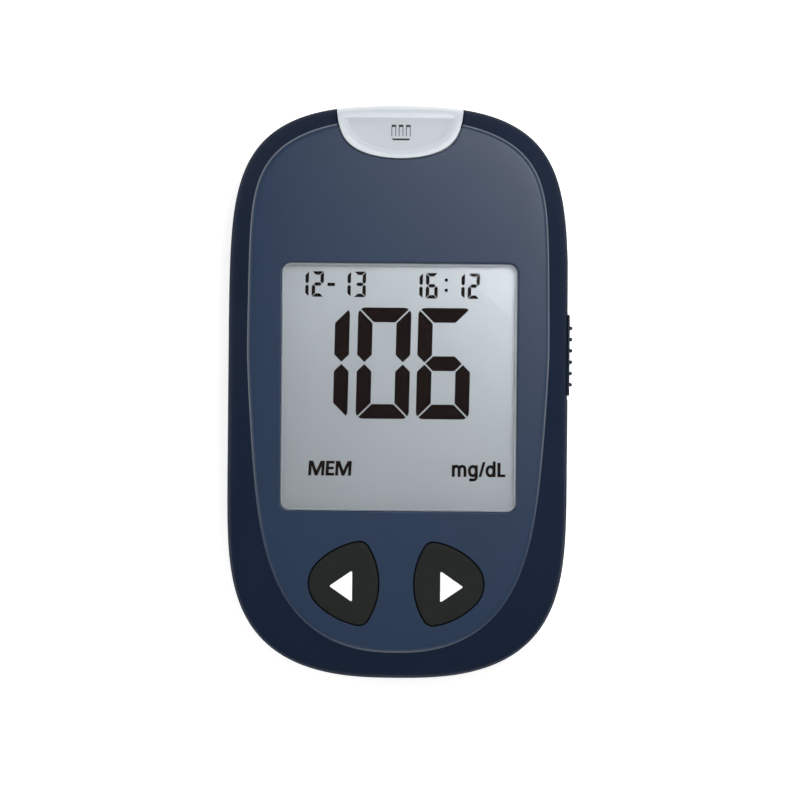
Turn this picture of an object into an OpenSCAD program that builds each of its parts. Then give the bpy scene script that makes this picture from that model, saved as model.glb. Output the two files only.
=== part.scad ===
// Pocket blood glucose meter, lying on its back. Millimetres.
// +X is the ejector side, +Y the test-strip end, +Z out of the display. Z = 0 is the back face.

/* [Body] */
// Width across the widest place
body_w = 57; // [56:0.5:70]
// Length from the bottom end to the strip end
body_l = 96; // [95:0.5:120]
// Thickness from the back face to the top of the face
body_h = 20; // [20:0.25:26]
// Wall of the two covers
wall = 1.6; // [1.4:0.1:2]
// Thickness of the front cover under its face
face_wall = 1.7; // [1.6:0.1:2]
// Where the body is widest, measured along Y
widest_y = -11.4; // [-14:0.2:-8]
// Height of the lip that locates the two covers
lip_h = 0.9; // [0.6:0.1:1.2]

/* [Raised face] */
// Rim beside the raised face
rim_side = 3; // [2.6:0.1:3.4]
// Rim above the raised face
rim_top = 2.25; // [2:0.05:3]
// Rim below the raised face
rim_bottom = 4.3; // [4:0.1:5]
// Height of the crease below the top of the face
crease_drop = 1.4; // [1.2:0.1:1.7]

/* [Display] */
// Width of the window
window_w = 39.1; // [36:0.1:39.5]
// Length of the window
window_l = 41.1; // [38:0.1:41.5]
// Corner radius of the window
window_r = 1.5; // [1:0.1:3]
// Sideways place of the window
window_x = 0.2; // [-0.3:0.1:0.3]
// Lengthways place of the window
window_y = 0.8; // [0:0.1:1.5]
// How far the lens reaches under the cover
lens_flange = 0.9; // [0.7:0.1:1.1]
// Thickness of the lens at its flange
lens_t = 1.2; // [1:0.1:1.4]
// Depth of the lens below the face
lens_recess = 0.75; // [0.5:0.05:1]
// Thickness of each sheet of display glass
glass_t = 1.1; // [0.7:0.1:1.1]
// Width of the contact ledge on the front glass
glass_ledge = 2.4; // [2.2:0.1:2.8]

/* [Buttons] */
// Distance from the centre line to a button's two inner corners
button_in_x = 5.37; // [5:0.05:6]
// Distance from the centre line to a button's outer corner
button_out_x = 15.36; // [14.5:0.05:15.6]
// Half the distance between the two inner corners
button_half_l = 6.98; // [6.5:0.05:7.2]
// Radius of a button's outer corner
button_tip_r = 4.67; // [4:0.05:5]
// Radius of a button's two inner corners
button_r = 1.65; // [1.4:0.05:2]
// Bulge of a button's two slanting sides
button_bulge = 1.62; // [1.2:0.05:2]
// Bulge of a button's inner side
button_inner_bulge = 2.39; // [2:0.05:2.6]
// Distance from the bottom end to the middle of the buttons
button_from_end = 16.21; // [15.5:0.05:17]
// Height of the buttons above the face
button_proud = 0.1; // [0:0.05:0.5]
// Gap around a button
button_gap = 0.2; // [0.15:0.05:0.3]
// Press travel
button_travel = 0.6; // [0.4:0.05:0.8]

/* [Strip port] */
// Width of the cap
cap_w = 21.4; // [19:0.1:23]
// How far the cap reaches in from the strip end
cap_l = 9.3; // [8.5:0.1:10]
// Gap around the cap
cap_gap = 0.15; // [0.1:0.05:0.2]
// Width of the strip slot
strip_w = 6.9; // [6.4:0.1:7.4]
// Height of the strip slot
strip_h = 0.8; // [0.7:0.05:1]

/* [Ejector] */
// Length of the ribbed slider
slider_l = 13.6; // [12.6:0.1:14.6]
// Lengthways place of the slider's middle
slider_y = 6.4; // [5.4:0.1:6.8]
// How far the slider plate stands off the side land
slider_proud = 0.36; // [0.3:0.02:0.5]
// Number of grip ribs
rib_count = 6; // [5:1:7]
// Distance between ribs
rib_pitch = 1.89; // [1.6:0.01:2]
// Thickness of a rib
rib_t = 0.63; // [0.5:0.01:0.8]
// Height of a rib above the plate
rib_h = 0.5; // [0.3:0.05:0.6]
// Ejector travel
eject_travel = 8; // [6:0.1:8]

/* [Battery] */
// Diameter of a coin cell
cell_d = 20; // [19.5:0.1:20.5]
// Thickness of a coin cell
cell_h = 3.2; // [2.5:0.1:3.2]
// Distance from the body's middle to the middle of the cells
cell_y = 10.6; // [10:0.1:12]
// Thickness of the battery door
door_t = 1.4; // [1.2:0.1:1.5]
// Gap around the battery door
door_gap = 0.2; // [0.15:0.05:0.3]

/* [Electronics] */
// Thickness of the circuit board
board_t = 1.2; // [1:0.1:1.6]
// Room between the body's side and the board's edge
board_inset = 2.8; // [2.6:0.1:3.2]
// Radius of the data jack's bore
jack_r = 1.8; // [1.78:0.01:1.84]
// Depth of the data jack's bore
jack_depth = 12; // [11:0.5:13]

/* [Fasteners] */
// Radius of a screw's shank
screw_r = 1; // [0.9:0.05:1.1]
// Radius of a screw's head
head_r = 1.9; // [1.7:0.1:2]
// Thickness of a screw's head
head_h = 1.3; // [1.1:0.1:1.4]

/* [Hidden] */
$fn = 48;

// Squareness of the outlines: an exponent of 2 is an ellipse, more is squarer.
top_p = 2.75;
top_q = 7.4;
bottom_p = 2.66;
bottom_q = 4;
face_top_p = 2.18;
face_top_q = 6.7;
face_bottom_p = 2.32;
face_bottom_q = 5.1;
face_top_taper = 0.022;
face_bottom_taper = 0.137;
face_widest_y = 7.7;
outline_steps = 64;
seat = 0.1;
loose = 0.3;

lip_t = wall / 2;
top_y = body_l / 2;
bottom_y = -body_l / 2;
side_x = body_w / 2;

// Heights from the back: cells, the roof over them, the board, the parting line.
cell_z = wall + 0.5;
roof_z = cell_z + cell_h + 1.1;
roof_t = 1;
board_z = roof_z + roof_t + 1.2;
board_top = board_z + board_t;
parting_z = board_top - 0.2;

// Heights from the face: crease, ceiling, tape, lens, gasket, display glass.
crease_z = body_h - crease_drop;
ceiling_z = body_h - face_wall;
window_rim = 1.1;
tape_t = 0.2;
gasket_t = 0.3;
polariser_t = 0.2;
lens_top = body_h - window_rim - tape_t;
lens_z = lens_top - lens_t;
polariser_z = lens_z - gasket_t - polariser_t;
front_glass_z = polariser_z - glass_t;
rear_glass_z = front_glass_z - glass_t;
reflector_t = 0.25;
reflector_z = rear_glass_z - reflector_t;

// Display sizes, all grown from the window.
lens_w = window_w + 2 * lens_flange;
lens_l = window_l + 2 * lens_flange;
lens_r = window_r + lens_flange;
glass_grow = 1.05;
glass_w = window_w + 2 * glass_grow;
glass_top_y = window_y + window_l / 2 + glass_grow - 0.2;
glass_bottom_y = window_y - window_l / 2 - glass_grow + 0.2;
ledge_y = glass_bottom_y - glass_ledge;
frame_t = 0.9;
frame_w = glass_w + 2 * seat + 2 * frame_t;
frame_top_y = glass_top_y + seat + frame_t;
frame_bottom_y = ledge_y - seat - frame_t;
frame_top_z = front_glass_z + 0.3;
frame_shelf = 1.1;
zebra_t = 1.9;
peg_r = 0.35;

// Buttons and the switches under them.
button_y = bottom_y + button_from_end;
button_top = body_h + button_proud;
flange_t = 0.9;
flange_grow = 0.7;
flange_top = ceiling_z - seat;
switch_x = (button_in_x + button_out_x) / 2 - 1.5;
switch_w = 6;
switch_h = 3;
switch_top = board_top + switch_h;
switch_cover_t = 0.2;
plunger_r = 1.6;
plunger_flange_r = 1.9;
plunger_top = switch_top + switch_cover_t + 1.4;
dome_h = button_travel + seat;
plunger_z = board_top + 1.2 + dome_h;
stem_r = 1.5;
arrow_h = 0.35;
arrow_tip = 11.1;
arrow_base = 7.3;
arrow_half = 2.61;
arrow_drop = 0.45;

// Strip port, connector and ejector.
cap_end = top_y - cap_l;
cap_softness = 2.4;
cap_power = 0.52;
cap_wall = 1.3;
cap_front = 3.1;
cap_recess = 0.4;
cap_inner_y = top_y - cap_front;
connector_front = cap_inner_y - loose;
connector_l = 9.4;
connector_rear = connector_front - connector_l;
connector_w = 15.2;
connector_h = 4.6;
strip_z = board_top + 1.9;
strip_stop = connector_rear + 1.8;
contact_count = 4;
contact_pitch = 0.95;
contact_w = 0.5;
contact_t = 0.2;
finger_w = 0.8;
finger_x = strip_w / 2 - finger_w / 2 - 0.15;
land_inset = 0.17;
land_room = 8.6;
land_x = side_x - land_inset;
slider_start = slider_y - slider_l / 2;
slider_end = slider_y + slider_l / 2;
slider_h = 5.4;
slider_x = land_x + 0.05;
plate_x = land_x + slider_proud;
rib_x = plate_x + rib_h;
neck_l = 4.4;
neck_y = slider_start + 0.6;
arm_z = board_top + loose;
arm_t = 1.5;
arm_out = side_x - 3.9;
arm_w = 2.5;
arm_in = arm_out - arm_w;
bar_w = 3;
bar_end = connector_rear - eject_travel - 0.6;
bar_start = bar_end - bar_w;
arm_rear = slider_start - 0.4;
spring_r = 0.8;
wire_r = 0.17;
spring_turns = 9;
spring_z = arm_z + arm_t / 2;
spring_x = (arm_in + arm_out) / 2;
spring_l = 12;
post_y = arm_rear - spring_l;

// Battery bay.
cell_x = cell_d / 2 + 0.5;
bay_y = -cell_y;
pocket_r = cell_d / 2 + 0.3;
door_w = 2 * cell_x + cell_d + 1.4;
door_top = bay_y + cell_d / 2 + 2.2;
door_bottom = bay_y - cell_d / 2 - 1.6;
door_l = door_top - door_bottom;
door_z = 0.1;
hook_x = 12;
hook_w = 5;
hook_reach = 1.5;
hook_t = 0.85;
bay_wall = 1.2;
bay_top = door_top + hook_reach + 2;
bay_bottom = door_bottom - 0.3 - bay_wall;
bay_half_w = door_w / 2 + bay_wall;
latch_w = 9;
latch_t = 0.7;
latch_l = 4.4;
latch_h = 3.2;
catch_reach = 0.7;

// Fasteners, jack, buzzer and label.
screw_gap = 0.02;
boss_r = 2.3;
post_r = 3;
top_screws = [side_x - 11, top_y - 10.5];
bottom_screws = [side_x - 11.5, bottom_y + 10];
head_seat = wall + 1.4;
shank_top = board_top + 4;
counterbore_r = head_r + 0.2;
board_screw_r = 0.8;
board_screw_head = 1.5;
board_boss_r = 1.9;
board_screws_at = [[0, bottom_y + 5.6], [-side_x + 4.9, top_y - 21]];
jack_y = 12.5;
jack_w = 6;
jack_h = 5.2;
jack_nose_r = 2.6;
jack_z = board_z - jack_h / 2 - seat;
jack_face = -side_x + 0.6;
jack_shoulder = -side_x + wall + 1.2;
buzzer_at = [13, 12.5];
buzzer_r = 5;
buzzer_h = 2.6;
sound_r = 0.6;
label_w = 34;
label_l = 17;
label_y = top_y - 19;
label_t = 0.1;

// ---- outlines ----

// Body outline, moved in by an inset: two superellipse halves that meet at the widest place.
function body_outline(inset) = [
    for (k = [0 : outline_steps - 1])
        let (a = 360 * k / outline_steps)
        let (up = k <= outline_steps / 2)
        let (b = (up ? top_y - widest_y : widest_y - bottom_y) - inset)
        let (p = up ? top_p : bottom_p)
        let (q = up ? top_q : bottom_q)
        [
            sign(cos(a)) * (side_x - inset) * pow(abs(cos(a)), 2 / p),
            widest_y + sign(sin(a)) * b * pow(abs(sin(a)), 2 / q)
        ]
];

// Outline of the raised face: the same rule with a taper towards each end.
function face_outline(inset) = [
    for (k = [0 : outline_steps - 1])
        let (a = 360 * k / outline_steps)
        let (up = k <= outline_steps / 2)
        let (b = (up ? top_y - rim_top - face_widest_y : face_widest_y - bottom_y - rim_bottom) - inset)
        let (p = up ? face_top_p : face_bottom_p)
        let (q = up ? face_top_q : face_bottom_q)
        let (t = pow(abs(sin(a)), 2 / q))
        let (taper = 1 - t * (up ? face_top_taper : face_bottom_taper))
        [
            sign(cos(a)) * (side_x - rim_side - inset) * taper * pow(abs(cos(a)), 2 / p),
            face_widest_y + sign(sin(a)) * b * t
        ]
];

// Rectangle with round corners, centred on the origin.
function rounded_rectangle(w, l, r) = [
    for (c = [[1, 1, 0], [-1, 1, 90], [-1, -1, 180], [1, -1, 270]])
        for (a = [0 : 15 : 90])
            [c[0] * (w / 2 - r) + r * cos(a + c[2]), c[1] * (l / 2 - r) + r * sin(a + c[2])]
];

// The arc that runs from p to q and bulges by s: its radius and centre.
function arc_radius(p, q, s) = (pow(norm(q - p), 2) / 4 + s * s) / (2 * s);
function arc_normal(p, q) = [(q - p)[1], -(q - p)[0]] / norm(q - p);
function arc_centre(p, q, s) = (p + q) / 2 - arc_normal(p, q) * (arc_radius(p, q, s) - s);

// Where two circles cross, on the side where near is.
function crossing(c1, r1, c2, r2, near) =
    let (apart = norm(c2 - c1))
    let (along = (r1 * r1 - r2 * r2 + apart * apart) / (2 * apart))
    let (across = sqrt(r1 * r1 - along * along))
    let (run = (c2 - c1) / apart)
    let (foot = c1 + run * along)
    let (side = [-run[1], run[0]] * across)
    norm(foot + side - near) < norm(foot - side - near) ? foot + side : foot - side;

// Heading from one point to another, and points on an arc about c from one heading to the next.
function heading(p, q) = atan2(q[1] - p[1], q[0] - p[0]);
function arc_points(c, r, from, to, steps) =
    let (sweep = to < from ? to - from + 360 : to - from)
    [for (k = steps) c + r * [cos(from + sweep * k), sin(from + sweep * k)]];

// Corners of the left button before they are rounded, then for each its side and its radius.
button_corners = [
    [-button_out_x, button_y],
    [-button_in_x, button_y - button_half_l],
    [-button_in_x, button_y + button_half_l]
];
button_sides = [
    for (i = [0 : 2])
        let (p = button_corners[i])
        let (q = button_corners[(i + 1) % 3])
        let (s = i == 1 ? button_inner_bulge : button_bulge)
        [arc_centre(p, q, s), arc_radius(p, q, s)]
];
button_radii = [button_tip_r, button_r, button_r];
button_rounds = [
    for (i = [0 : 2])
        let (a = button_sides[(i + 2) % 3])
        let (b = button_sides[i])
        crossing(a[0], a[1] - button_radii[i], b[0], b[1] - button_radii[i], button_corners[i])
];

// Outline of the left button: a triangle with bulged sides and round corners that points outwards.
function button_outline(grow) = [
    for (i = [0 : 2])
        let (j = (i + 1) % 3)
        let (c = button_sides[i][0])
        let (end = heading(c, button_rounds[j]))
        let (side = arc_points(
            c, button_sides[i][1] + grow, heading(c, button_rounds[i]), end, [0 : 0.125 : 1]
        ))
        let (corner = arc_points(
            button_rounds[j], button_radii[j] + grow, end,
            heading(button_sides[j][0], button_rounds[j]), [1 / 6 : 1 / 6 : 0.9]
        ))
        for (point = concat(side, corner))
            point
];

// Half width of the cap at a distance from its inner end.
function cap_half(d) = cap_w / 2 * pow(1 - exp(-d / cap_softness), cap_power);

// One side of the cap's outline, from its inner end to past the end of the body.
function cap_side(grow) =
    let (n = 18)
    let (run = cap_l + 2)
    [
        for (i = [0 : n])
            let (d = run * pow(i / n, 2))
            let (x = cap_half(d) + grow)
            if (x > 0.2)
                [x, cap_end - grow + d]
    ];

// Outline of the cap, grown outwards by a distance.
function cap_outline(grow) =
    let (side = cap_side(grow))
    concat(side, [for (i = [len(side) - 1 : -1 : 0]) [-side[i][0], side[i][1]]]);

// ---- shared solids ----

// Closed solid through rings of equal length, each given as [outline, height], lowest first.
module loft(rings) {
    n = len(rings[0][0]);
    last = len(rings) - 1;
    points = [for (r = rings) for (p = r[0]) [p[0], p[1], r[1]]];
    low = [[for (i = [0 : n - 1]) i]];
    high = [[for (i = [n - 1 : -1 : 0]) last * n + i]];
    sides = [
        for (k = [0 : last - 1])
            for (i = [0 : n - 1])
                for (f = [
                    [(k + 1) * n + (i + 1) % n, k * n + (i + 1) % n, k * n + i],
                    [(k + 1) * n + i, (k + 1) * n + (i + 1) % n, k * n + i]
                ])
                    f
    ];
    polyhedron(points, concat(low, sides, high));
}

module plate(points, z0, z1) {
    translate([0, 0, z0])
        linear_extrude(z1 - z0)
            polygon(points);
}

module box(from, to) {
    translate(from)
        cube(to - from);
}

module rod(at, r, z0, z1) {
    translate([at[0], at[1], z0])
        cylinder(r = r, h = z1 - z0);
}

// A profile in Y and Z, extruded along X and centred on x.
module strip(profile, x, w) {
    translate([x - w / 2, 0, 0])
        rotate([90, 0, 90])
            linear_extrude(w)
                polygon(profile);
}

module window_plate(w, l, r, z0, z1) {
    translate([window_x, window_y, 0])
        plate(rounded_rectangle(w, l, r), z0, z1);
}

module both_sides() {
    children();
    mirror([1, 0, 0])
        children();
}

module front_solid() {
    loft([
        [body_outline(0), parting_z],
        [body_outline(0.35), parting_z + 3],
        [body_outline(1.25), parting_z + 5.6],
        [face_outline(0), crease_z],
        [face_outline(0.5), crease_z + 0.55],
        [face_outline(5), body_h - 0.2],
        [face_outline(12), body_h]
    ]);
}

module front_hollow() {
    loft([
        [body_outline(wall), parting_z - 1],
        [body_outline(wall + 0.35), parting_z + 2.8],
        [body_outline(wall + 1.15), parting_z + 5],
        [face_outline(0.9), crease_z - 1.5],
        [face_outline(1.8), ceiling_z]
    ]);
}

module back_solid() {
    loft([
        [body_outline(3.2), 0],
        [body_outline(1.9), 0.8],
        [body_outline(0.9), 2.6],
        [body_outline(0.25), 5.4],
        [body_outline(0), parting_z]
    ]);
}

module back_hollow() {
    loft([
        [body_outline(wall + 2.9), wall],
        [body_outline(wall + 1), 3.2],
        [body_outline(wall + 0.3), 5.8],
        [body_outline(wall), parting_z + 1]
    ]);
}

module screw_places() {
    for (sx = [-1, 1])
        for (p = [top_screws, bottom_screws])
            translate([sx * p[0], p[1], 0])
                children();
}

module board_screw_places() {
    for (p = board_screws_at)
        translate([p[0], p[1], 0])
            children();
}

// The flat land on the right side that the slider runs along, and the slot through the wall.
module slider_cut() {
    box([land_x, slider_start - 0.6, 0], [side_x + 1, slider_end + land_room, body_h]);
    box(
        [arm_out - 0.5, neck_y - loose, arm_z - 0.15],
        [side_x + 1, neck_y + neck_l + eject_travel + loose, arm_z + arm_t + 0.15]
    );
}

// ---- case ----

module front_cover() {
    color("#2b3a4f")
    difference() {
        union() {
            difference() {
                front_solid();
                front_hollow();
            }
            intersection() {
                front_solid();
                union() {
                    screw_places()
                        rod([0, 0], boss_r, board_top + seat, body_h);
                    board_screw_places()
                        rod([0, 0], board_boss_r, board_top, body_h);
                    rod([spring_x, post_y], 0.9, arm_z - 0.2, body_h);
                }
            }
        }
        plate(body_outline(wall - lip_t - seat), parting_z - 2, parting_z + lip_h + seat);
        window_plate(window_w, window_l, window_r, lens_z, body_h + 1);
        window_plate(lens_w + 2 * seat, lens_l + 2 * seat, lens_r + seat, lens_z - 1, lens_top + tape_t);
        both_sides()
            plate(button_outline(button_gap), ceiling_z - 3, body_h + 1);
        plate(cap_outline(cap_gap), parting_z - 2, body_h + 1);
        slider_cut();
        screw_places()
            rod([0, 0], screw_r + screw_gap, board_top - 1, shank_top + 0.6);
        board_screw_places()
            rod([0, 0], board_screw_r + screw_gap, board_top - 1, board_top + 3.6);
    }
}

module back_cover() {
    color("#263447")
    difference() {
        union() {
            difference() {
                back_solid();
                back_hollow();
            }
            lip();
            intersection() {
                back_solid();
                union() {
                    bay_block();
                    screw_places()
                        rod([0, 0], post_r, wall / 2, board_z - seat);
                }
            }
        }
        for (s = [-1, 1])
            rod([s * cell_x, bay_y], pocket_r, -1, roof_z);
        door_cut();
        contact_slots();
        screw_places() {
            rod([0, 0], counterbore_r, -1, head_seat);
            rod([0, 0], screw_r + 0.1, 0, board_z + 1);
        }
        slider_cut();
        translate([-side_x - 1, jack_y, jack_z])
            rotate([0, 90, 0])
                cylinder(r = jack_nose_r + seat, h = wall + 3);
        sound_holes();
        translate([0, label_y, 0])
            plate(rounded_rectangle(label_w + 0.4, label_l + 0.4, 2), -1, 2 * label_t);
    }
}

module lip() {
    difference() {
        plate(body_outline(wall - lip_t), parting_z - 1, parting_z + lip_h);
        plate(body_outline(wall), parting_z - 2, parting_z + lip_h + 1);
        plate(cap_outline(cap_gap), parting_z - 2, parting_z + lip_h + 1);
        plate(body_outline(-1), parting_z - 2, parting_z - 0.5);
    }
}

module bay_block() {
    box([-bay_half_w, bay_bottom, wall / 2], [bay_half_w, bay_top, roof_z + roof_t]);
    box(
        [-latch_w / 2 - 1.6, door_bottom - latch_l - 2, wall / 2],
        [latch_w / 2 + 1.6, bay_bottom + 1, latch_h + 3]
    );
}

module door_cut() {
    box(
        [-door_w / 2 - door_gap, door_bottom - door_gap, -1],
        [door_w / 2 + door_gap, door_top + door_gap, cell_z]
    );
    for (s = [-1, 1])
        box(
            [s * hook_x - hook_w / 2 - loose, door_top - 2, wall],
            [s * hook_x + hook_w / 2 + loose, door_top + hook_reach + loose, cell_z + 1.4]
        );
    box(
        [-latch_w / 2 - loose, door_bottom - latch_l + latch_t, -1],
        [latch_w / 2 + loose, door_bottom + 1, latch_h + 1.8]
    );
    box(
        [-latch_w / 2 - loose, door_bottom - latch_l - 0.8, wall],
        [latch_w / 2 + loose, door_bottom + 1, latch_h + 1.8]
    );
}

module contact_slots() {
    for (s = [-1, 1]) {
        box([s * cell_x - 1.6, bay_y - 2, roof_z - 1], [s * cell_x + 1.6, bay_y + 6.6, roof_z + 0.5]);
        box([s * cell_x - 1.6, bay_y + 4.6, roof_z - 1], [s * cell_x + 1.6, bay_y + 6.6, board_z]);
        box(
            [s * (cell_x + cell_d / 2 + 0.6) - 0.7, bay_y - 2.2, wall],
            [s * (cell_x + cell_d / 2 + 0.6) + 0.7, bay_y + 2.2, board_z]
        );
    }
}

module sound_holes() {
    rod(buzzer_at, sound_r, -1, wall + 1);
    for (a = [0 : 60 : 300])
        rod([buzzer_at[0] + 2.4 * cos(a), buzzer_at[1] + 2.4 * sin(a)], sound_r, -1, wall + 1);
}

module back_label() {
    color("#c9ccd0")
    translate([0, label_y, 0])
        plate(rounded_rectangle(label_w, label_l, 1.8), label_t, 2 * label_t);
}

module case_screws() {
    color("#9a9da2")
    screw_places()
        difference() {
            union() {
                rod([0, 0], head_r, head_seat - head_h, head_seat);
                rod([0, 0], screw_r, head_seat - 0.1, shank_top);
            }
            cross_recess(head_seat - head_h, 2.4);
        }
}

module board_screws() {
    color("#b8babd")
    board_screw_places()
        difference() {
            union() {
                rod([0, 0], board_screw_head, board_z - 0.9, board_z);
                rod([0, 0], board_screw_r, board_z - 0.1, board_top + 3.2);
            }
            cross_recess(board_z - 0.9, 1.8);
        }
}

module cross_recess(z, w) {
    box([-w / 2, -0.25, z - 0.1], [w / 2, 0.25, z + 0.55]);
    box([-0.25, -w / 2, z - 0.1], [0.25, w / 2, z + 0.55]);
}

// ---- display ----

module display_lens() {
    color("#dfe6ee", 0.4)
    union() {
        window_plate(lens_w, lens_l, lens_r, lens_z, lens_top);
        window_plate(
            window_w - 2 * seat, window_l - 2 * seat, window_r,
            lens_top - 0.1, body_h - lens_recess
        );
    }
}

module lens_tape() {
    color("#15171a")
    difference() {
        window_plate(lens_w, lens_l, lens_r, lens_top, lens_top + tape_t);
        window_plate(window_w + 0.1, window_l + 0.1, window_r, lens_top - 1, lens_top + 1);
    }
}

module dust_gasket() {
    color("#1b1d20")
    difference() {
        window_plate(window_w + 1.6, window_l + 1.6, lens_r, lens_z - gasket_t, lens_z);
        window_plate(window_w + 0.2, window_l + 0.2, window_r, lens_z - 1, lens_z + 1);
    }
}

module glass(y0, y1, z0, z1) {
    box([window_x - glass_w / 2, y0, z0], [window_x + glass_w / 2, y1, z1]);
}

module lcd_front_polariser() {
    color("#c3c8cc")
    glass(glass_bottom_y + 0.2, glass_top_y - 0.2, polariser_z, polariser_z + polariser_t);
}

module lcd_front_glass() {
    color("#cfd8dc", 0.5)
    glass(ledge_y, glass_top_y, front_glass_z, polariser_z);
}

module lcd_rear_glass() {
    color("#c4ced3", 0.5)
    glass(glass_bottom_y, glass_top_y, rear_glass_z, front_glass_z);
}

module lcd_reflector() {
    color("#b4bbc0")
    glass(glass_bottom_y + 0.2, glass_top_y - 0.2, reflector_z, rear_glass_z);
}

// Ring that carries the glass on a shelf above the board, with a slot for the zebra connector.
module lcd_frame() {
    zebra_top = glass_bottom_y - 0.15;
    color("#e8e8e4")
    difference() {
        union() {
            box(
                [window_x - frame_w / 2, frame_bottom_y, board_top],
                [window_x + frame_w / 2, frame_top_y, frame_top_z]
            );
            frame_pegs(board_z - 0.5, board_top + 1, peg_r);
        }
        box(
            [window_x - glass_w / 2 - seat, ledge_y - seat, reflector_z],
            [window_x + glass_w / 2 + seat, glass_top_y + seat, body_h]
        );
        box(
            [window_x - glass_w / 2 + frame_shelf, zebra_top + 0.8, board_z],
            [window_x + glass_w / 2 - frame_shelf, glass_top_y - frame_shelf, body_h]
        );
        box(
            [window_x - glass_w / 2 + frame_shelf, zebra_top - zebra_t - 0.1, board_z],
            [window_x + glass_w / 2 - frame_shelf, zebra_top, body_h]
        );
    }
}

module frame_pegs(z0, z1, r) {
    for (sx = [-1, 1])
        for (y = [frame_bottom_y + 2, frame_top_y - 2])
            rod([window_x + sx * (frame_w / 2 - frame_t / 2), y], r, z0, z1);
}

module zebra_connector() {
    back = glass_bottom_y - 0.2 - zebra_t;
    color("#6f7478")
    box(
        [window_x - glass_w / 2 + 1.4, back, board_top],
        [window_x + glass_w / 2 - 1.4, back + zebra_t, front_glass_z]
    );
}

// ---- board ----

module main_board() {
    color("#1f5a3a")
    difference() {
        plate(body_outline(board_inset), board_z, board_top);
        screw_places()
            rod([0, 0], screw_r + 0.15, board_z - 1, board_top + 1);
        board_screw_places()
            rod([0, 0], board_screw_r + 0.15, board_z - 1, board_top + 1);
        frame_pegs(board_z - 1, board_top + 1, peg_r + 0.08);
        box([-cap_w / 2 - 0.5, cap_inner_y - loose, board_z - 1], [cap_w / 2 + 0.5, top_y, board_top + 1]);
        for (s = [-1, 1]) {
            rod([s * cell_x, bay_y + 5.6], 0.7, board_z - 1, board_top + 1);
            rod([s * (cell_x + cell_d / 2 + 0.6), bay_y], 0.7, board_z - 1, board_top + 1);
        }
    }
}

// A chip with gull-wing leads on two or four sides.
module chip(at, w, l, h, leads, pitch, quad) {
    translate([at[0], at[1], board_top]) {
        box([-w / 2, -l / 2, 0.15], [w / 2, l / 2, h]);
        for (i = [0 : leads - 1]) {
            y = (i - (leads - 1) / 2) * pitch;
            lead_pair(w, y);
            if (quad)
                rotate(90)
                    lead_pair(l, y);
        }
    }
}

module lead_pair(w, y) {
    both_sides() {
        box([w / 2 - 0.1, y - 0.15, 0.35], [w / 2 + 0.5, y + 0.15, 0.55]);
        box([w / 2 + 0.3, y - 0.15, 0], [w / 2 + 0.5, y + 0.15, 0.5]);
        box([w / 2 + 0.3, y - 0.15, 0], [w / 2 + 1, y + 0.15, 0.2]);
    }
}

module microcontroller() {
    color("#222427")
    chip([-4, 4], 10, 10, 1.6, 9, 1, true);
}

module memory_chip() {
    color("#26282b")
    chip([11, 8], 4, 5, 1.6, 4, 1.27, false);
}

module analog_chip() {
    color("#24262a")
    chip([-13.5, top_y - 17], 4.4, 5, 1.4, 4, 1.1, false);
}

module watch_crystal() {
    color("#c8cacc")
    union() {
        translate([-14.5, -3, board_top + 1.05])
            rotate([-90, 0, 0])
                cylinder(r = 1, h = 6);
        for (s = [-1, 1])
            box([-14.5 + s * 0.4 - 0.12, -4.6, board_top], [-14.5 + s * 0.4 + 0.12, -2.9, board_top + 1.1]);
        box([-15.2, -2.4, board_top], [-13.8, 2.4, board_top + 0.4]);
    }
}

// Resistors and capacitors in three rows, two of them inside the display's frame.
module small_components() {
    frame_inner_x = window_x + glass_w / 2 - frame_shelf;
    color("#a98f62")
    for (i = [0 : 4]) {
        component([frame_inner_x - 1.2 - i * 2, bay_y + 8.9], 1, 1.8, 0.6);
        component([-11.5 + i * 2, -11.1], 1, 1.8, 0.8);
        component([-15.8 + i * 1.5, top_y - 7.4], 0.8, 1.6, 0.6);
    }
}

module component(at, w, l, h) {
    box([at[0] - w / 2, at[1] - l / 2, board_top], [at[0] + w / 2, at[1] + l / 2, board_top + h]);
}

module buzzer() {
    color("#1a1b1d")
    difference() {
        rod(buzzer_at, buzzer_r, board_z - buzzer_h, board_z);
        rod(buzzer_at, 1, board_z - buzzer_h - 1, board_z - 1);
    }
}

// ---- buttons and switches ----

// The left button: key, retaining flange, and a stem that rests on the plunger.
module button_body() {
    difference() {
        union() {
            plate(button_outline(0), flange_top - 0.1, button_top);
            plate(button_outline(flange_grow), flange_top - flange_t, flange_top);
            rod([-switch_x, button_y], stem_r, plunger_top, flange_top);
        }
        plate(button_outline(-button_r + 0.5), flange_top - flange_t - 1, flange_top - 0.4);
        plate(arrow_outline(), button_top - arrow_h, button_top + 1);
    }
    rod([-switch_x, button_y], stem_r, plunger_top, flange_top);
}

function arrow_outline() = [
    [-arrow_tip, button_y - arrow_drop],
    [-arrow_base, button_y - arrow_drop - arrow_half],
    [-arrow_base, button_y - arrow_drop + arrow_half]
];

module left_button() {
    color("#26282a")
    button_body();
}

module right_button() {
    color("#26282a")
    mirror([1, 0, 0])
        button_body();
}

module arrow() {
    plate(arrow_outline(), button_top - arrow_h, button_top);
}

module left_arrow() {
    color("white")
    arrow();
}

module right_arrow() {
    color("white")
    mirror([1, 0, 0])
        arrow();
}

module plunger(x) {
    translate([x, button_y, 0]) {
        rod([0, 0], plunger_r, plunger_z, plunger_top);
        rod([0, 0], plunger_flange_r, plunger_z, plunger_z + 0.5);
    }
}

module left_plunger() {
    color("#101214")
    plunger(-switch_x);
}

module right_plunger() {
    color("#101214")
    plunger(switch_x);
}

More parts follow.
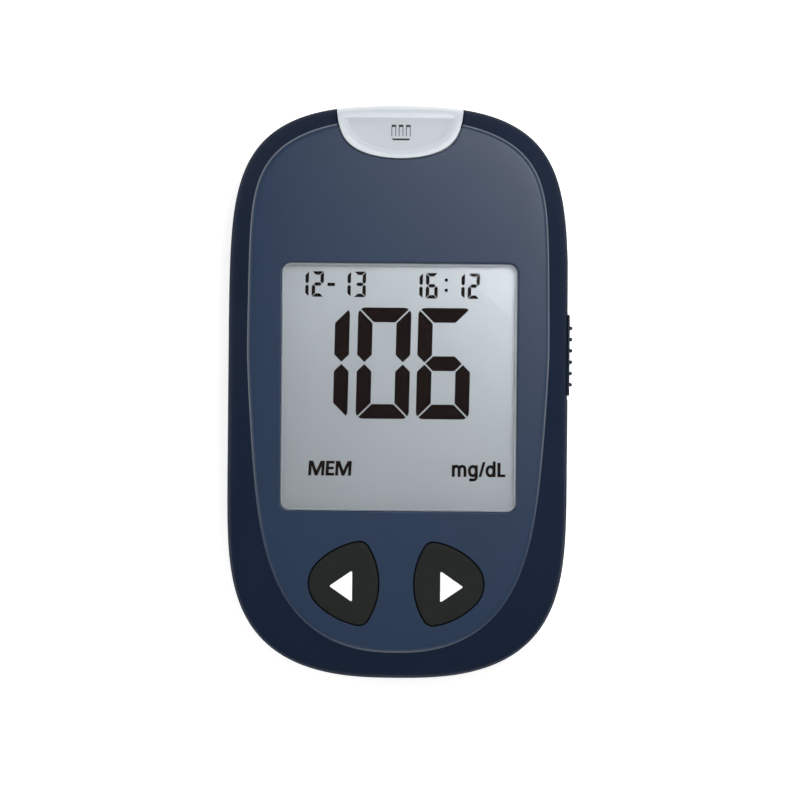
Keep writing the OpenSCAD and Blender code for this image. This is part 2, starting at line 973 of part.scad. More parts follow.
// Snap dome: a thin spherical cap that flattens when the plunger comes down.
module dome(x) {
    rise = dome_h - 0.05;
    outer = (pow(plunger_flange_r, 2) + rise * rise) / (2 * rise);
    translate([x, button_y, plunger_z - dome_h])
        intersection() {
            translate([0, 0, rise - outer])
                difference() {
                    sphere(r = outer);
                    sphere(r = outer - 0.12);
                }
            cylinder(r = plunger_flange_r, h = dome_h);
        }
}

module left_dome() {
    color("#c9c4b4")
    dome(-switch_x);
}

module right_dome() {
    color("#c9c4b4")
    dome(switch_x);
}

module switch_body(x) {
    translate([x, button_y, 0])
        difference() {
            union() {
                box([-switch_w / 2, -switch_w / 2, board_top], [switch_w / 2, switch_w / 2, switch_top]);
                for (sx = [-1, 1])
                    for (sy = [-1, 1])
                        box(
                            [sx * 3.4 - 0.5, sy * 2.2 - 0.35, board_top],
                            [sx * 3.4 + 0.5, sy * 2.2 + 0.35, board_top + 0.2]
                        );
            }
            rod([0, 0], plunger_flange_r + 0.15, plunger_z - dome_h, switch_top + 1);
        }
}

module left_switch() {
    color("#1d1f22")
    switch_body(-switch_x);
}

module right_switch() {
    color("#1d1f22")
    switch_body(switch_x);
}

module switch_cover(x) {
    translate([x, button_y, 0])
        difference() {
            box(
                [-switch_w / 2, -switch_w / 2, switch_top],
                [switch_w / 2, switch_w / 2, switch_top + switch_cover_t]
            );
            rod([0, 0], plunger_r + 0.1, switch_top - 1, switch_top + 1);
        }
}

module left_switch_cover() {
    color("#bfc2c4")
    switch_cover(-switch_x);
}

module right_switch_cover() {
    color("#bfc2c4")
    switch_cover(switch_x);
}

// ---- strip port ----

module strip_port_cap() {
    color("#dfe2e6")
    difference() {
        union() {
            intersection() {
                front_solid();
                plate(cap_outline(0), parting_z + seat, body_h + 1);
            }
            intersection() {
                front_hollow();
                plate(cap_outline(1.2), ceiling_z - seat - 1, ceiling_z - seat);
                box([-cap_w, cap_end - 2, 0], [cap_w, cap_inner_y - 1, body_h]);
            }
        }
        intersection() {
            union() {
                plate(cap_outline(-cap_wall), strip_z + 1, body_h - 2.6);
                box([-cap_w - 1, 0, 0], [cap_w + 1, top_y + 2, strip_z + connector_h]);
            }
            box([-cap_w, -1, -1], [cap_w, cap_inner_y, body_h]);
        }
        intersection() {
            plate(cap_outline(-cap_wall), crease_z + 0.5 - cap_recess, body_h + 1);
            box([-cap_w, 0, 0], [cap_w, top_y - 2.2, body_h + 1]);
        }
        box(
            [-strip_w / 2 - 0.15, 0, strip_z - 0.15],
            [strip_w / 2 + 0.15, top_y + 1, strip_z + strip_h + 0.15]
        );
        strip(
            [
                [top_y - 1.4, strip_z],
                [top_y + 1, strip_z - 1.4],
                [top_y + 1, strip_z + strip_h + 1.4],
                [top_y - 1.4, strip_z + strip_h]
            ],
            0, strip_w + 1.2
        );
    }
}

module strip_connector() {
    contact_half = (contact_count - 1) / 2 * contact_pitch + contact_w / 2 + 0.15;
    color("#e9e7df")
    difference() {
        box(
            [-connector_w / 2, connector_rear, board_top],
            [connector_w / 2, connector_front, board_top + connector_h]
        );
        box([-strip_w / 2, strip_stop, strip_z], [strip_w / 2, connector_front + 1, strip_z + strip_h]);
        for (s = [-1, 1])
            box(
                [s * finger_x - finger_w / 2 - 0.12, connector_rear - 1, strip_z],
                [s * finger_x + finger_w / 2 + 0.12, strip_stop + 1, strip_z + strip_h]
            );
        box(
            [-contact_half, connector_rear + 0.3, strip_z + 0.2],
            [contact_half, connector_front - 2, strip_z + strip_h + 1.3]
        );
        box(
            [-contact_half, connector_rear - 1, board_top - 1],
            [contact_half, connector_rear + 0.75, strip_z + 2.1]
        );
        box([-contact_half, connector_rear, strip_z + 0.2], [contact_half, strip_stop + 1, strip_z + 0.9]);
    }
}

// Spring contacts: a foot on the board, a rise behind the housing and a beam over the strip.
module strip_contacts() {
    y0 = connector_rear + 0.45;
    z0 = board_top;
    z1 = strip_z + strip_h + 1;
    tip = strip_z + 0.55;
    color("#cfa63e")
    for (i = [0 : contact_count - 1])
        strip(
            [
                [y0 - 0.6, z0],
                [y0 + contact_t, z0],
                [y0 + contact_t, z1 - contact_t],
                [y0 + 2.6, z1 - contact_t],
                [y0 + 4.8, tip],
                [y0 + 6, tip + 0.6],
                [y0 + 5.9, tip + 0.8],
                [y0 + 4.8, tip + 0.25],
                [y0 + 2.65, z1],
                [y0, z1],
                [y0, z0 + contact_t],
                [y0 - 0.6, z0 + contact_t]
            ],
            (i - (contact_count - 1) / 2) * contact_pitch, contact_w
        );
}

// ---- ejector ----

module ejector_slider() {
    color("#1f2a3a")
    difference() {
        union() {
            translate([slider_x, slider_y, parting_z])
                rotate([90, 0, 90])
                    linear_extrude(plate_x - slider_x)
                        polygon(rounded_rectangle(slider_l, slider_h, 0.8));
            for (i = [0 : rib_count - 1])
                translate([0, slider_y - 0.2 + (i - (rib_count - 1) / 2) * rib_pitch, parting_z])
                    grip_rib();
            box([arm_out, neck_y, arm_z], [slider_x + 0.1, neck_y + neck_l, arm_z + arm_t]);
            translate([arm_out - 1.4, neck_y + neck_l / 2, arm_z + arm_t / 2])
                rotate([0, 90, 0])
                    cylinder(r = 0.45, h = 2);
        }
    }
}

module grip_rib() {
    reach = rib_x - plate_x;
    box([plate_x - 0.1, -rib_t / 2, -slider_h / 2 + 0.7], [rib_x - rib_t / 2, rib_t / 2, slider_h / 2 - 0.7]);
    translate([plate_x + reach - rib_t / 2, 0, -slider_h / 2 + 0.7])
        cylinder(r = rib_t / 2, h = slider_h - 1.4);
}

// Inner bar: along the side, across behind the connector, then two fingers that push the strip.
module ejector_arm() {
    color("#d8d9d6")
    difference() {
        union() {
            box([arm_in, arm_rear, arm_z], [arm_out, bar_end, arm_z + arm_t]);
            box([-finger_x - 1.2, bar_start, arm_z], [arm_out, bar_end, arm_z + arm_t]);
            for (s = [-1, 1]) {
                box(
                    [s * finger_x - finger_w / 2, bar_start, strip_z + 0.1],
                    [s * finger_x + finger_w / 2, strip_stop - 0.1, strip_z + strip_h - 0.1]
                );
                box(
                    [s * finger_x - finger_w / 2, bar_start, arm_z],
                    [s * finger_x + finger_w / 2, bar_end, strip_z + strip_h - 0.1]
                );
            }
        }
        translate([arm_out - 1.6, neck_y + neck_l / 2, arm_z + arm_t / 2])
            rotate([0, 90, 0])
                cylinder(r = 0.47, h = 2);
    }
}

// Centre line of the return spring: a coil along Y with a straight leg at each end.
function spring_point(t) =
    let (turn = 360 * spring_turns * t)
    let (coil_l = spring_l - 2.4)
    [
        spring_x + spring_r * cos(turn),
        post_y + 1.5 + coil_l * t,
        spring_z + spring_r * sin(turn)
    ];

// Ring of points around a centre, square to a direction in the coil.
function wire_ring(at, out, along) = [for (a = [0 : 60 : 300]) at + wire_r * (cos(a) * out + sin(a) * along)];

module ejector_spring() {
    steps = spring_turns * 12;
    rings = [
        for (k = [0 : steps])
            let (t = k / steps)
            let (turn = 360 * spring_turns * t)
            wire_ring(spring_point(t), [cos(turn), 0, sin(turn)], [0, 1, 0])
    ];
    sides = 6;
    points = [for (r = rings) for (p = r) p];
    faces = concat(
        [[for (i = [0 : sides - 1]) i]],
        [[for (i = [sides - 1 : -1 : 0]) steps * sides + i]],
        [
            for (k = [0 : steps - 1])
                for (i = [0 : sides - 1])
                    for (f = [
                        [k * sides + i, (k + 1) * sides + (i + 1) % sides, k * sides + (i + 1) % sides],
                        [k * sides + i, (k + 1) * sides + i, (k + 1) * sides + (i + 1) % sides]
                    ])
                        f
        ]
    );
    color("#c6c9cc")
    union() {
        polyhedron(points, faces);
        spring_leg(post_y + 0.95, post_y + 1.5);
        spring_leg(post_y + spring_l - 0.9, post_y + spring_l - 0.05);
    }
}

module spring_leg(y0, y1) {
    translate([spring_x + spring_r, y0, spring_z])
        rotate([-90, 0, 0])
            cylinder(r = wire_r, h = y1 - y0, $fn = 16);
}

// ---- battery ----

module battery_door() {
    color("#263447")
    union() {
        difference() {
            translate([0, (door_top + door_bottom) / 2, 0])
                plate(rounded_rectangle(door_w, door_l, 1), door_z, door_z + door_t);
            for (i = [0 : 3])
                box([-5, door_bottom + 1.6 + i * 1.2, -1], [5, door_bottom + 2.2 + i * 1.2, door_z + 0.35]);
        }
        for (s = [-1, 1]) {
            box(
                [s * hook_x - hook_w / 2, door_top - 1, door_z + door_t - 0.1],
                [s * hook_x + hook_w / 2, door_top, wall + 0.15 + hook_t]
            );
            box(
                [s * hook_x - hook_w / 2, door_top - 1, wall + 0.15],
                [s * hook_x + hook_w / 2, door_top + hook_reach, wall + 0.15 + hook_t]
            );
            for (x = [-4, 4])
                box(
                    [s * cell_x + x - 0.5, bay_y - 5, door_z + door_t - 0.1],
                    [s * cell_x + x + 0.5, bay_y + 5, cell_z - 0.1]
                );
        }
    }
}

// Springy tongue of the door: up, over and down again, with a catch behind the cover's edge.
module battery_latch() {
    near = door_bottom;
    far = door_bottom - latch_l + 1;
    top_z = latch_h + 1.2;
    color("#263447")
    strip(
        [
            [near, door_z],
            [near, top_z - 0.3],
            [near - 0.3, top_z],
            [far + 0.3, top_z],
            [far, top_z - 0.3],
            [far, wall + 1],
            [far - catch_reach - 0.1, wall + 0.3],
            [far - catch_reach - 0.1, wall + 0.12],
            [far, wall + 0.12],
            [far, door_z + 0.2],
            [far + latch_t + 0.2, door_z + 0.2],
            [far + latch_t, wall],
            [far + latch_t, top_z - latch_t],
            [near - latch_t, top_z - latch_t],
            [near - latch_t, door_z]
        ],
        0, latch_w
    );
}

module cell(x) {
    translate([x, bay_y, 0]) {
        rod([0, 0], cell_d / 2, cell_z, cell_z + cell_h - 0.5);
        rod([0, 0], cell_d / 2 - 1.2, cell_z, cell_z + cell_h);
    }
}

module left_cell() {
    color("#c9cbcd")
    cell(-cell_x);
}

module right_cell() {
    color("#c9cbcd")
    cell(cell_x);
}

// Leaf that presses on the inner face of each cell, with a leg up through the board.
module negative_contacts() {
    z0 = cell_z + cell_h;
    color("#d3b25e")
    for (s = [-1, 1]) {
        strip(
            [
                [bay_y - 1, z0],
                [bay_y + 1, z0],
                [bay_y + 4.6, roof_z],
                [bay_y + 5.2, roof_z],
                [bay_y + 5.2, roof_z + 0.2],
                [bay_y + 4.5, roof_z + 0.2],
                [bay_y + 1, z0 + 0.2],
                [bay_y - 1, z0 + 0.2]
            ],
            s * cell_x, 2.4
        );
        box([s * cell_x - 0.4, bay_y + 5.2, roof_z], [s * cell_x + 0.4, bay_y + 5.6, board_top + 0.4]);
    }
}

// Upright leaf beside the rim of each cell.
module positive_contacts() {
    x = cell_x + cell_d / 2;
    color("#d3b25e")
    both_sides() {
        box([x, bay_y - 1.2, cell_z + 0.4], [x + 0.2, bay_y + 1.2, cell_z + 2]);
        box([x, bay_y - 1.2, cell_z + 1.8], [x + 0.7, bay_y + 1.2, cell_z + 2]);
        box([x + 0.5, bay_y - 1.2, cell_z + 1.8], [x + 0.7, bay_y + 1.2, board_z - 0.2]);
        box([x + 0.5, bay_y - 0.3, board_z - 0.3], [x + 0.7, bay_y + 0.3, board_top - seat]);
    }
}

// ---- data jack ----

module data_jack() {
    color("#1c1d1f")
    difference() {
        union() {
            box(
                [jack_shoulder, jack_y - jack_w / 2, jack_z - jack_h / 2],
                [jack_face + jack_depth + 1.2, jack_y + jack_w / 2, board_z]
            );
            translate([jack_face, jack_y, jack_z])
                rotate([0, 90, 0])
                    cylinder(r = jack_nose_r, h = jack_shoulder - jack_face + 0.5);
        }
        translate([jack_face - 1, jack_y, jack_z])
            rotate([0, 90, 0])
                cylinder(r = jack_r, h = jack_depth + 1);
    }
}

module jack_contacts() {
    color("#cfa63e")
    for (x = [3.5, 6.5, 9.5])
        for (s = [-1, 1])
            translate([jack_face + x + 1, jack_y + s * (jack_w / 2 + 0.1), 0])
                box([-0.4, -0.1, jack_z - 0.8], [0.4, 0.1, board_z]);
}

front_cover();
back_cover();
display_lens();
lens_tape();
dust_gasket();
lcd_front_polariser();
lcd_front_glass();
lcd_rear_glass();
lcd_reflector();
lcd_frame();
zebra_connector();
main_board();
microcontroller();
memory_chip();
analog_chip();
watch_crystal();
small_components();
buzzer();
left_button();
right_button();
left_arrow();
right_arrow();
left_plunger();
right_plunger();
left_dome();
right_dome();
left_switch();
right_switch();
left_switch_cover();
right_switch_cover();
strip_port_cap();
strip_connector();
strip_contacts();
ejector_slider();
ejector_arm();
ejector_spring();
battery_door();
battery_latch();
left_cell();
right_cell();
positive_contacts();
negative_contacts();
case_screws();
board_screws();
back_label();
data_jack();
jack_contacts();
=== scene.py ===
import functools
from math import atan2, ceil, cos, exp, hypot, pi, radians, sin, sqrt, tan

import bmesh
import bpy
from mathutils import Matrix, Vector


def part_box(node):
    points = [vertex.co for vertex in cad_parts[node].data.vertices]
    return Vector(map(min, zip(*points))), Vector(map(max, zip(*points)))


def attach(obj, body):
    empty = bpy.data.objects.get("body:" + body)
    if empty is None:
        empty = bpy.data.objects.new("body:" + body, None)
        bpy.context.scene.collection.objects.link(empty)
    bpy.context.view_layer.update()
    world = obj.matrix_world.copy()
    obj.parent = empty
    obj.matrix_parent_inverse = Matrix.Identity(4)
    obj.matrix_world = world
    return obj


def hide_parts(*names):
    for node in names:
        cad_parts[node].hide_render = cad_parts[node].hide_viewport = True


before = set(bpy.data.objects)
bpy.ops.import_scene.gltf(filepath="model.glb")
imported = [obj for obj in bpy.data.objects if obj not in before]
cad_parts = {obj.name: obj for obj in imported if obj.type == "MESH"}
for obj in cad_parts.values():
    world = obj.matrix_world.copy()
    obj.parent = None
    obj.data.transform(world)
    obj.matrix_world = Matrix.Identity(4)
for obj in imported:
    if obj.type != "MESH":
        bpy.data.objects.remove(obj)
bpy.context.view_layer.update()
mm = 0.001  # sizes below are millimetres, and a mesh is turned into metres as it is made
print("frame loaded:", len(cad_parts), "nodes")

frontLow, frontHigh = (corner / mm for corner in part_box("front_cover"))
backLow, backHigh = (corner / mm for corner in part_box("back_cover"))
seamZ, faceZ = frontLow.z, frontHigh.z


shot = {
    "lens": 200, "sensor": 36, "clip": (0.01, 20),
    "span": 134.35,            # width of the picture at the height of the case's seam
    "aim": (0.37, -1.34), "turn": 0.5,
}
lamps = {
    # place, width and watts of square panels that all face the case
    "overheadPanel": ((60, 80, 1150), 1100, 0.27),
    "nearPanel": ((70, 88, 250), 120, 0.4),
    "leftPanel": ((-450, 0, 250), 300, 0.76),
    "rightPanel": ((450, 50, 250), 300, 0.52),
    "endPanel": ((0, -450, 250), 300, 0.6),
    "portPanel": ((0, 450, 250), 300, 0.18),
}
studio = {
    "lampAim": (0, 0, 10),
    "skyStrength": 0.56, "horizonGlow": 0.15, "horizonBand": (0.2, 0.6), "backdropGlow": 2.0,
    "floorHalf": 2200, "floorColour": (0.95, 0.95, 0.95), "floorGlow": 0.44,
}


def newObject(name, data):
    made = bpy.data.objects.new(name, data)
    bpy.context.scene.collection.objects.link(made)
    return made


def placeCamera():
    camera = newObject("camera", bpy.data.cameras.new("camera"))
    camera.data.lens = shot["lens"]
    camera.data.sensor_width = shot["sensor"]
    camera.data.clip_start, camera.data.clip_end = shot["clip"]
    rise = shot["span"] * shot["lens"] / shot["sensor"]
    camera.location = Vector((*shot["aim"], seamZ + rise)) * mm
    camera.rotation_euler = (0, 0, radians(shot["turn"]))
    bpy.context.scene.camera = camera


def hangLamp(name, place, width, watts):
    light = bpy.data.lights.new(name, "AREA")
    light.size = width * mm
    light.energy = watts
    lamp = newObject(name, light)
    lamp.location = Vector(place) * mm
    lamp.rotation_euler = (Vector(studio["lampAim"]) - Vector(place)).to_track_quat("-Z", "Y").to_euler()


def makeSky():
    # bright overhead and dim near the horizon, in front of an even pale backdrop
    world = bpy.data.worlds.new("studioSky")
    bpy.context.scene.world = world
    world.use_nodes = True
    tree = world.node_tree
    direction = addNode(tree, "ShaderNodeTexCoord").outputs["Generated"]
    height = addNode(tree, "ShaderNodeSeparateXYZ", Vector=direction).outputs["Z"]
    glow = spread(tree, height, studio["horizonGlow"], 1, *studio["horizonBand"])
    seen = addNode(tree, "ShaderNodeLightPath").outputs["Is Camera Ray"]
    shade = addNode(tree, "ShaderNodeMix", Factor=seen, A=glow, B=studio["backdropGlow"])
    plug(tree, tree.nodes["Background"], Color=shade.outputs["Result"], Strength=studio["skyStrength"])


def layFloor():
    half = studio["floorHalf"]
    corners = [(-half, -half, 0), (half, -half, 0), (half, half, 0), (-half, half, 0)]
    floor = meshPiece("floor", corners, [(0, 1, 2, 3)])
    floor.data.materials.append(materials["floorPaper"])


finishes = {
    # colour, roughness, specular, metallic, size of grain and of drift in millimetres, how far tone and
    # gloss drift, bump, and where it isn't even the grain's stretch
    "coverBlue": ((0.0092, 0.0153, 0.0315), 0.42, 0.002, 0, 0.16, 14, 0.07, 0.03, 0.16),
    # the raised face: the cover's blue painted lighter and glossier, painted light for the light the face
    # catches while the sloping rim stays dark
    "faceBlue": ((0.0093, 0.0232, 0.0535), 0.34, 0.25, 0, 0.14, 14, 0.07, 0.03, 0.16),
    "coverBlueDark": ((0.0092, 0.0153, 0.0315), 0.48, 0.04, 0, 0.22, 14, 0.07, 0.03, 0.35),
    "sliderBlue": ((0.007, 0.012, 0.026), 0.5, 0.15, 0, 0.16, 14, 0.07, 0.03, 0.16),
    "keyBlack": ((0.0095, 0.0113, 0.01), 0.55, 0.1, 0, 0.12, 5, 0.12, 0.04, 0.2),
    "printWhite": ((0.82, 0.83, 0.84), 0.45, 0.5, 0, 0.09, 3, 0.015, 0.04, 0.12),
    "capGrey": ((0.47, 0.503, 0.54), 0.36, 0.4, 0, 0.18, 8, 0.015, 0.04, 0.1),
    # the dish's floor: the cap's grey painted darker, as painted shade in the recess
    "capGreyMatte": ((0.38, 0.403, 0.437), 0.5, 0.5, 0, 0.14, 8, 0.015, 0.04, 0.25),
    # the sign's grooves: near black, painted shadow in the engraving
    "signGrey": ((0.03, 0.033, 0.036), 0.6, 0.5, 0, 0.18, 8, 0.015, 0.04, 0.1),
    "foamBlack": ((0.012, 0.012, 0.013), 0.9, 0.5, 0, 0.25, 3, 0.3, 0.05, 0.9),
    "tapeBlack": ((0.01, 0.01, 0.011), 0.7, 0.5, 0, 0.1, 6, 0.15, 0.06, 0.25),
    "frameWhite": ((0.78, 0.78, 0.75), 0.45, 0.5, 0, 0.3, 9, 0.03, 0.06, 0.12),
    "chipBlack": ((0.018, 0.018, 0.02), 0.62, 0.5, 0, 0.07, 2, 0.15, 0.08, 0.5),
    "switchBlack": ((0.013, 0.013, 0.014), 0.5, 0.5, 0, 0.07, 2, 0.15, 0.08, 0.5),
    "ivoryPlastic": ((0.74, 0.71, 0.6), 0.42, 0.5, 0, 0.22, 5, 0.03, 0.06, 0.12),
    "componentTan": ((0.36, 0.25, 0.13), 0.45, 0.5, 0, 0.2, 1.5, 0.22, 0.08, 0.3),
    "platedSteel": ((0.58, 0.585, 0.6), 0.27, 0.5, 1, 0.06, 2, 0.06, 0.09, 0.12),
    "goldPlate": ((0.83, 0.62, 0.26), 0.24, 0.5, 1, 0.06, 2, 0.06, 0.09, 0.12),
    "cellSteel": ((0.68, 0.68, 0.67), 0.27, 0.5, 1, 0.2, 6, 0.06, 0.09, 0.12, (1, 0.06, 1)),
    "reflectorFilm": ((0.72, 0.74, 0.76), 0.38, 0.5, 1, 0.06, 12, 0.06, 0.09, 0.12),
    "polariserSilver": ((0.322, 0.349, 0.371), 0.33, 0.5, 0.85, 0.05, 20, 0.02, 0.04, 0.05),
    "labelSilver": ((0.6, 0.61, 0.63), 0.36, 0.5, 0.6, 0.09, 7, 0.035, 0.08, 0.15, (0.05, 1, 1)),
    "segmentInk": ((0.007, 0.0035, 0.003), 0.6, 0.03, 0, 0.05, 4, 0.12, 0.04, 0.03),
}
grainShare, driftShare, bumpHeight = 0.35, 0.65, 0.4  # of wear's two noises, and of a grain's size


def setSocket(tree, socket, value):
    # another socket is linked to it, a plain value is set on it
    if isinstance(value, bpy.types.NodeSocket):
        tree.links.new(value, socket)
    else:
        socket.default_value = value


def plug(tree, node, **sockets):
    # a socket is named with _ for a space
    for name, value in sockets.items():
        setSocket(tree, node.inputs[name.replace("_", " ")], value)
    return node


def addNode(tree, kind, **sockets):
    return plug(tree, tree.nodes.new(kind), **sockets)


def newMaterial(name, colour, roughness, **sockets):
    # sockets are the shader's own values, such as Metallic=1, and are the same all over
    material = bpy.data.materials.new(name)
    material.use_nodes = True
    tree = material.node_tree
    shader = tree.nodes["Principled BSDF"]
    return material, tree, plug(tree, shader, Base_Color=(*colour, 1), Roughness=roughness, **sockets)


def calc(tree, operation, *values):
    node = tree.nodes.new("ShaderNodeMath")
    node.operation = operation
    for socket, value in zip(node.inputs, values):
        setSocket(tree, socket, value)
    return node.outputs[0]


def onPiece(tree, stretch=(1, 1, 1)):
    spot = addNode(tree, "ShaderNodeTexCoord").outputs["Object"]
    return addNode(tree, "ShaderNodeMapping", Vector=spot, Scale=stretch).outputs["Vector"]


def noiseOf(tree, size, detail=2.0, stretch=(1, 1, 1)):
    # noise with lumps of about size millimetres
    sockets = {"Vector": onPiece(tree, stretch), "Scale": 1 / (size * mm), "Detail": detail}
    return addNode(tree, "ShaderNodeTexNoise", **sockets).outputs["Fac"]


def spread(tree, factor, low, high, fromLow=0.3, fromHigh=0.7):
    limits = {"From_Min": fromLow, "From_Max": fromHigh, "To_Min": low, "To_Max": high}
    return addNode(tree, "ShaderNodeMapRange", Value=factor, **limits).outputs["Result"]


def tint(tree, factor, dark, light):
    mix = tree.nodes.new("ShaderNodeMix")
    mix.data_type = "RGBA"
    for socket, value in zip((mix.inputs[0], *mix.inputs[6:8]), (factor, (*dark, 1), (*light, 1))):
        setSocket(tree, socket, value)
    return mix.outputs[2]


def scaled(colour, factor):
    return tuple(channel * factor for channel in colour)


def bumpOf(tree, height, strength, distance):
    bump = addNode(tree, "ShaderNodeBump", Height=height, Strength=strength, Distance=distance * mm)
    return bump.outputs["Normal"]


def surfaceOf(
    name, colour, roughness, specular, metallic, grain, drift, tone, gloss, bump, stretch=(1, 1, 1),
):
    # a finish with fine grain as bump, and a slow drift of tone and gloss over the piece
    material, tree, shader = newMaterial(
        name, colour, roughness, Specular_IOR_Level=specular, Metallic=metallic,
    )
    fine = noiseOf(tree, grain, 3, stretch)
    broad = calc(tree, "MULTIPLY", noiseOf(tree, drift), driftShare)
    worn = calc(tree, "MULTIPLY_ADD", fine, grainShare, broad)
    darkAndLight = (scaled(colour, 1 + side * tone) for side in (-1, 1))
    plug(
        tree, shader, Base_Color=tint(tree, spread(tree, worn, 0, 1), *darkAndLight),
        Roughness=spread(tree, worn, roughness + gloss, roughness - gloss),
        Normal=bumpOf(tree, fine, bump, grain * bumpHeight),
    )
    return material


def makeLensClear():
    # clear moulded window: hardly seen square on, glossy at a slant, with a faint ripple
    clear = {"Transmission_Weight": 1, "IOR": 1.4}
    material, tree, shader = newMaterial("lensClear", (0.97, 0.985, 1), 0.02, **clear)
    slant = addNode(tree, "ShaderNodeLayerWeight", Blend=0.4).outputs["Fresnel"]
    plug(
        tree, shader, Alpha=spread(tree, slant, 0.1, 0.4, 0.05, 0.8),
        Roughness=spread(tree, noiseOf(tree, 3), 0.01, 0.03),
        Normal=bumpOf(tree, noiseOf(tree, 9, 1), 0.05, 0.05),
    )
    return material


def makePlainGlass(name, colour, drift, low, high, **sockets):
    material, tree, shader = newMaterial(name, colour, low, **sockets)
    plug(tree, shader, Roughness=spread(tree, noiseOf(tree, drift), low, high))
    return material


def makeBoardGreen():
    # solder mask: tracks under it show as paler bands and stand up a little
    material, tree, shader = newMaterial("boardGreen", (0.014, 0.09, 0.045), 0.3)
    tracks = addNode(
        tree, "ShaderNodeTexBrick", Vector=onPiece(tree), Scale=1 / (5 * mm), Mortar_Size=0.035,
        Color1=(0.011, 0.075, 0.038, 1), Color2=(0.015, 0.092, 0.047, 1), Mortar=(0.035, 0.15, 0.075, 1),
    ).outputs
    plug(
        tree, shader, Base_Color=tracks["Color"], Normal=bumpOf(tree, tracks["Fac"], 0.5, 0.03),
        Roughness=spread(tree, noiseOf(tree, 0.5, 3), 0.24, 0.4),
    )
    return material


def makeZebraRubber():
    # silicone with fine conducting layers across it
    material, tree, shader = newMaterial("zebraRubber", (0.12, 0.125, 0.13), 0.7)
    layers = addNode(
        tree, "ShaderNodeTexWave", Vector=onPiece(tree), Scale=1 / (0.6 * mm), Distortion=0.1,
    ).outputs["Fac"]
    plug(
        tree, shader, Base_Color=tint(tree, layers, (0.02, 0.02, 0.022), (0.4, 0.41, 0.42)),
        Roughness=spread(tree, layers, 0.75, 0.6, 0, 1),
    )
    return material


def makeFloorPaper():
    colour = studio["floorColour"]
    material, tree, shader = newMaterial(
        "floorPaper", colour, 0.85, Specular_IOR_Level=0.2, Emission_Color=(1, 1, 1, 1),
        Emission_Strength=studio["floorGlow"],
    )
    fibre = spread(tree, noiseOf(tree, 0.6, 4), 0, 1)
    plug(tree, shader, Base_Color=tint(tree, fibre, scaled(colour, 0.985), scaled(colour, 1.01)))
    return material


def makeMaterials():
    made = [surfaceOf(name, *values) for name, values in finishes.items()]
    clear = {"Transmission_Weight": 1, "IOR": 1.52}
    made += [
        makeLensClear(),
        # the lens's rounded edge: pale, rough and half clear, a painted highlight line round the window
        makePlainGlass("lensFrost", (0.74, 0.8, 0.86), 0.4, 0.42, 0.58, Alpha=0.5),
        makePlainGlass("displayGlass", (0.9, 0.95, 0.93), 4, 0.02, 0.07, **clear),
        makeBoardGreen(), makeZebraRubber(), makeFloorPaper(),
    ]
    return {material.name: material for material in made}


sharpEdge = radians(32)  # edges that turn more than this stay crisp
bevelFrom = radians(30)


def meshPiece(name, points, faces):
    mesh = bpy.data.meshes.new(name)
    mesh.from_pydata([Vector(p) * mm for p in points], [], faces)
    return newObject(name, mesh)


def settle(piece):
    # bakes the piece's modifiers into its mesh
    baked = bpy.data.meshes.new_from_object(piece.evaluated_get(bpy.context.evaluated_depsgraph_get()))
    piece.modifiers.clear()
    rough, piece.data = piece.data, baked
    bpy.data.meshes.remove(rough)
    baked.name = piece.name
    return piece


def useUp(piece):
    bpy.data.meshes.remove(piece.data)


def combine(piece, operation, *others):
    # cuts piece with closed solids, or joins them to it; they are used up
    for other in others:
        step = piece.modifiers.new(operation, "BOOLEAN")
        step.object = other
        step.operation = operation
        step.solver = "MANIFOLD"
        settle(piece)
        useUp(other)


def cut(piece, *others):
    combine(piece, "DIFFERENCE", *others)


def join(piece, *others):
    combine(piece, "UNION", *others)


def facesOut(piece):
    # merges doubles and turns all faces outwards
    form = bmesh.new()
    form.from_mesh(piece.data)
    bmesh.ops.remove_doubles(form, verts=form.verts, dist=1e-7)
    bmesh.ops.recalc_face_normals(form, faces=form.faces)
    form.to_mesh(piece.data)
    form.free()
    return piece


def mirrored(piece, name):
    # a copy on the other side of the middle
    points = [(-p.x, p.y, p.z) for p in (v.co / mm for v in piece.data.vertices)]
    return meshPiece(name, points, [tuple(reversed(face.vertices)) for face in piece.data.polygons])


def bevel(piece, width):
    edge = piece.modifiers.new("bevel", "BEVEL")
    edge.width = width * mm
    edge.segments = 2
    edge.limit_method = "ANGLE"
    edge.angle_limit = bevelFrom
    return settle(piece)


def finish(piece, material, body, slot, node=None):
    piece.data.name = piece.name
    piece.data.shade_smooth()
    piece.data.set_sharp_from_angle(angle=sharpEdge)
    piece.data.materials.clear()
    piece.data.materials.append(materials[material])
    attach(piece, body)
    if node:
        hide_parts(node)
    print(piece.name, "made with", len(piece.data.polygons), "faces")
    return piece


def paintFaces(piece, extras, indexOf):
    # more materials, and for each face the one that indexOf says for its middle and normal
    for extra in extras:
        piece.data.materials.append(materials[extra])
    for face in piece.data.polygons:
        face.material_index = indexOf(*(face.center / mm), face.normal.z)


def loft(name, rings):
    # closed solid through rings of points, lowest first, each counter-clockwise from above
    around, last = len(rings[0]), (len(rings) - 1) * len(rings[0])
    faces = [
        (start + i, start + (i + 1) % around, start + around + (i + 1) % around, start + around + i)
        for start in range(0, last, around) for i in range(around)
    ]
    ends = [tuple(range(around - 1, -1, -1)), tuple(range(last, last + around))]
    return meshPiece(name, [point for ring in rings for point in ring], faces + ends)


def atHeight(outline, z):
    return [(x, y, z) for x, y in outline]


def stack(name, levels):
    # solid through (outline, height) pairs, lowest first
    return loft(name, [atHeight(outline, z) for outline, z in levels])


def plate(name, outline, lowZ, highZ):
    return stack(name, [(outline, lowZ), (outline, highZ)])


def block(name, low, high):
    (x0, y0, z0), (x1, y1, z1) = low, high
    return plate(name, [(x0, y0), (x1, y0), (x1, y1), (x0, y1)], z0, z1)


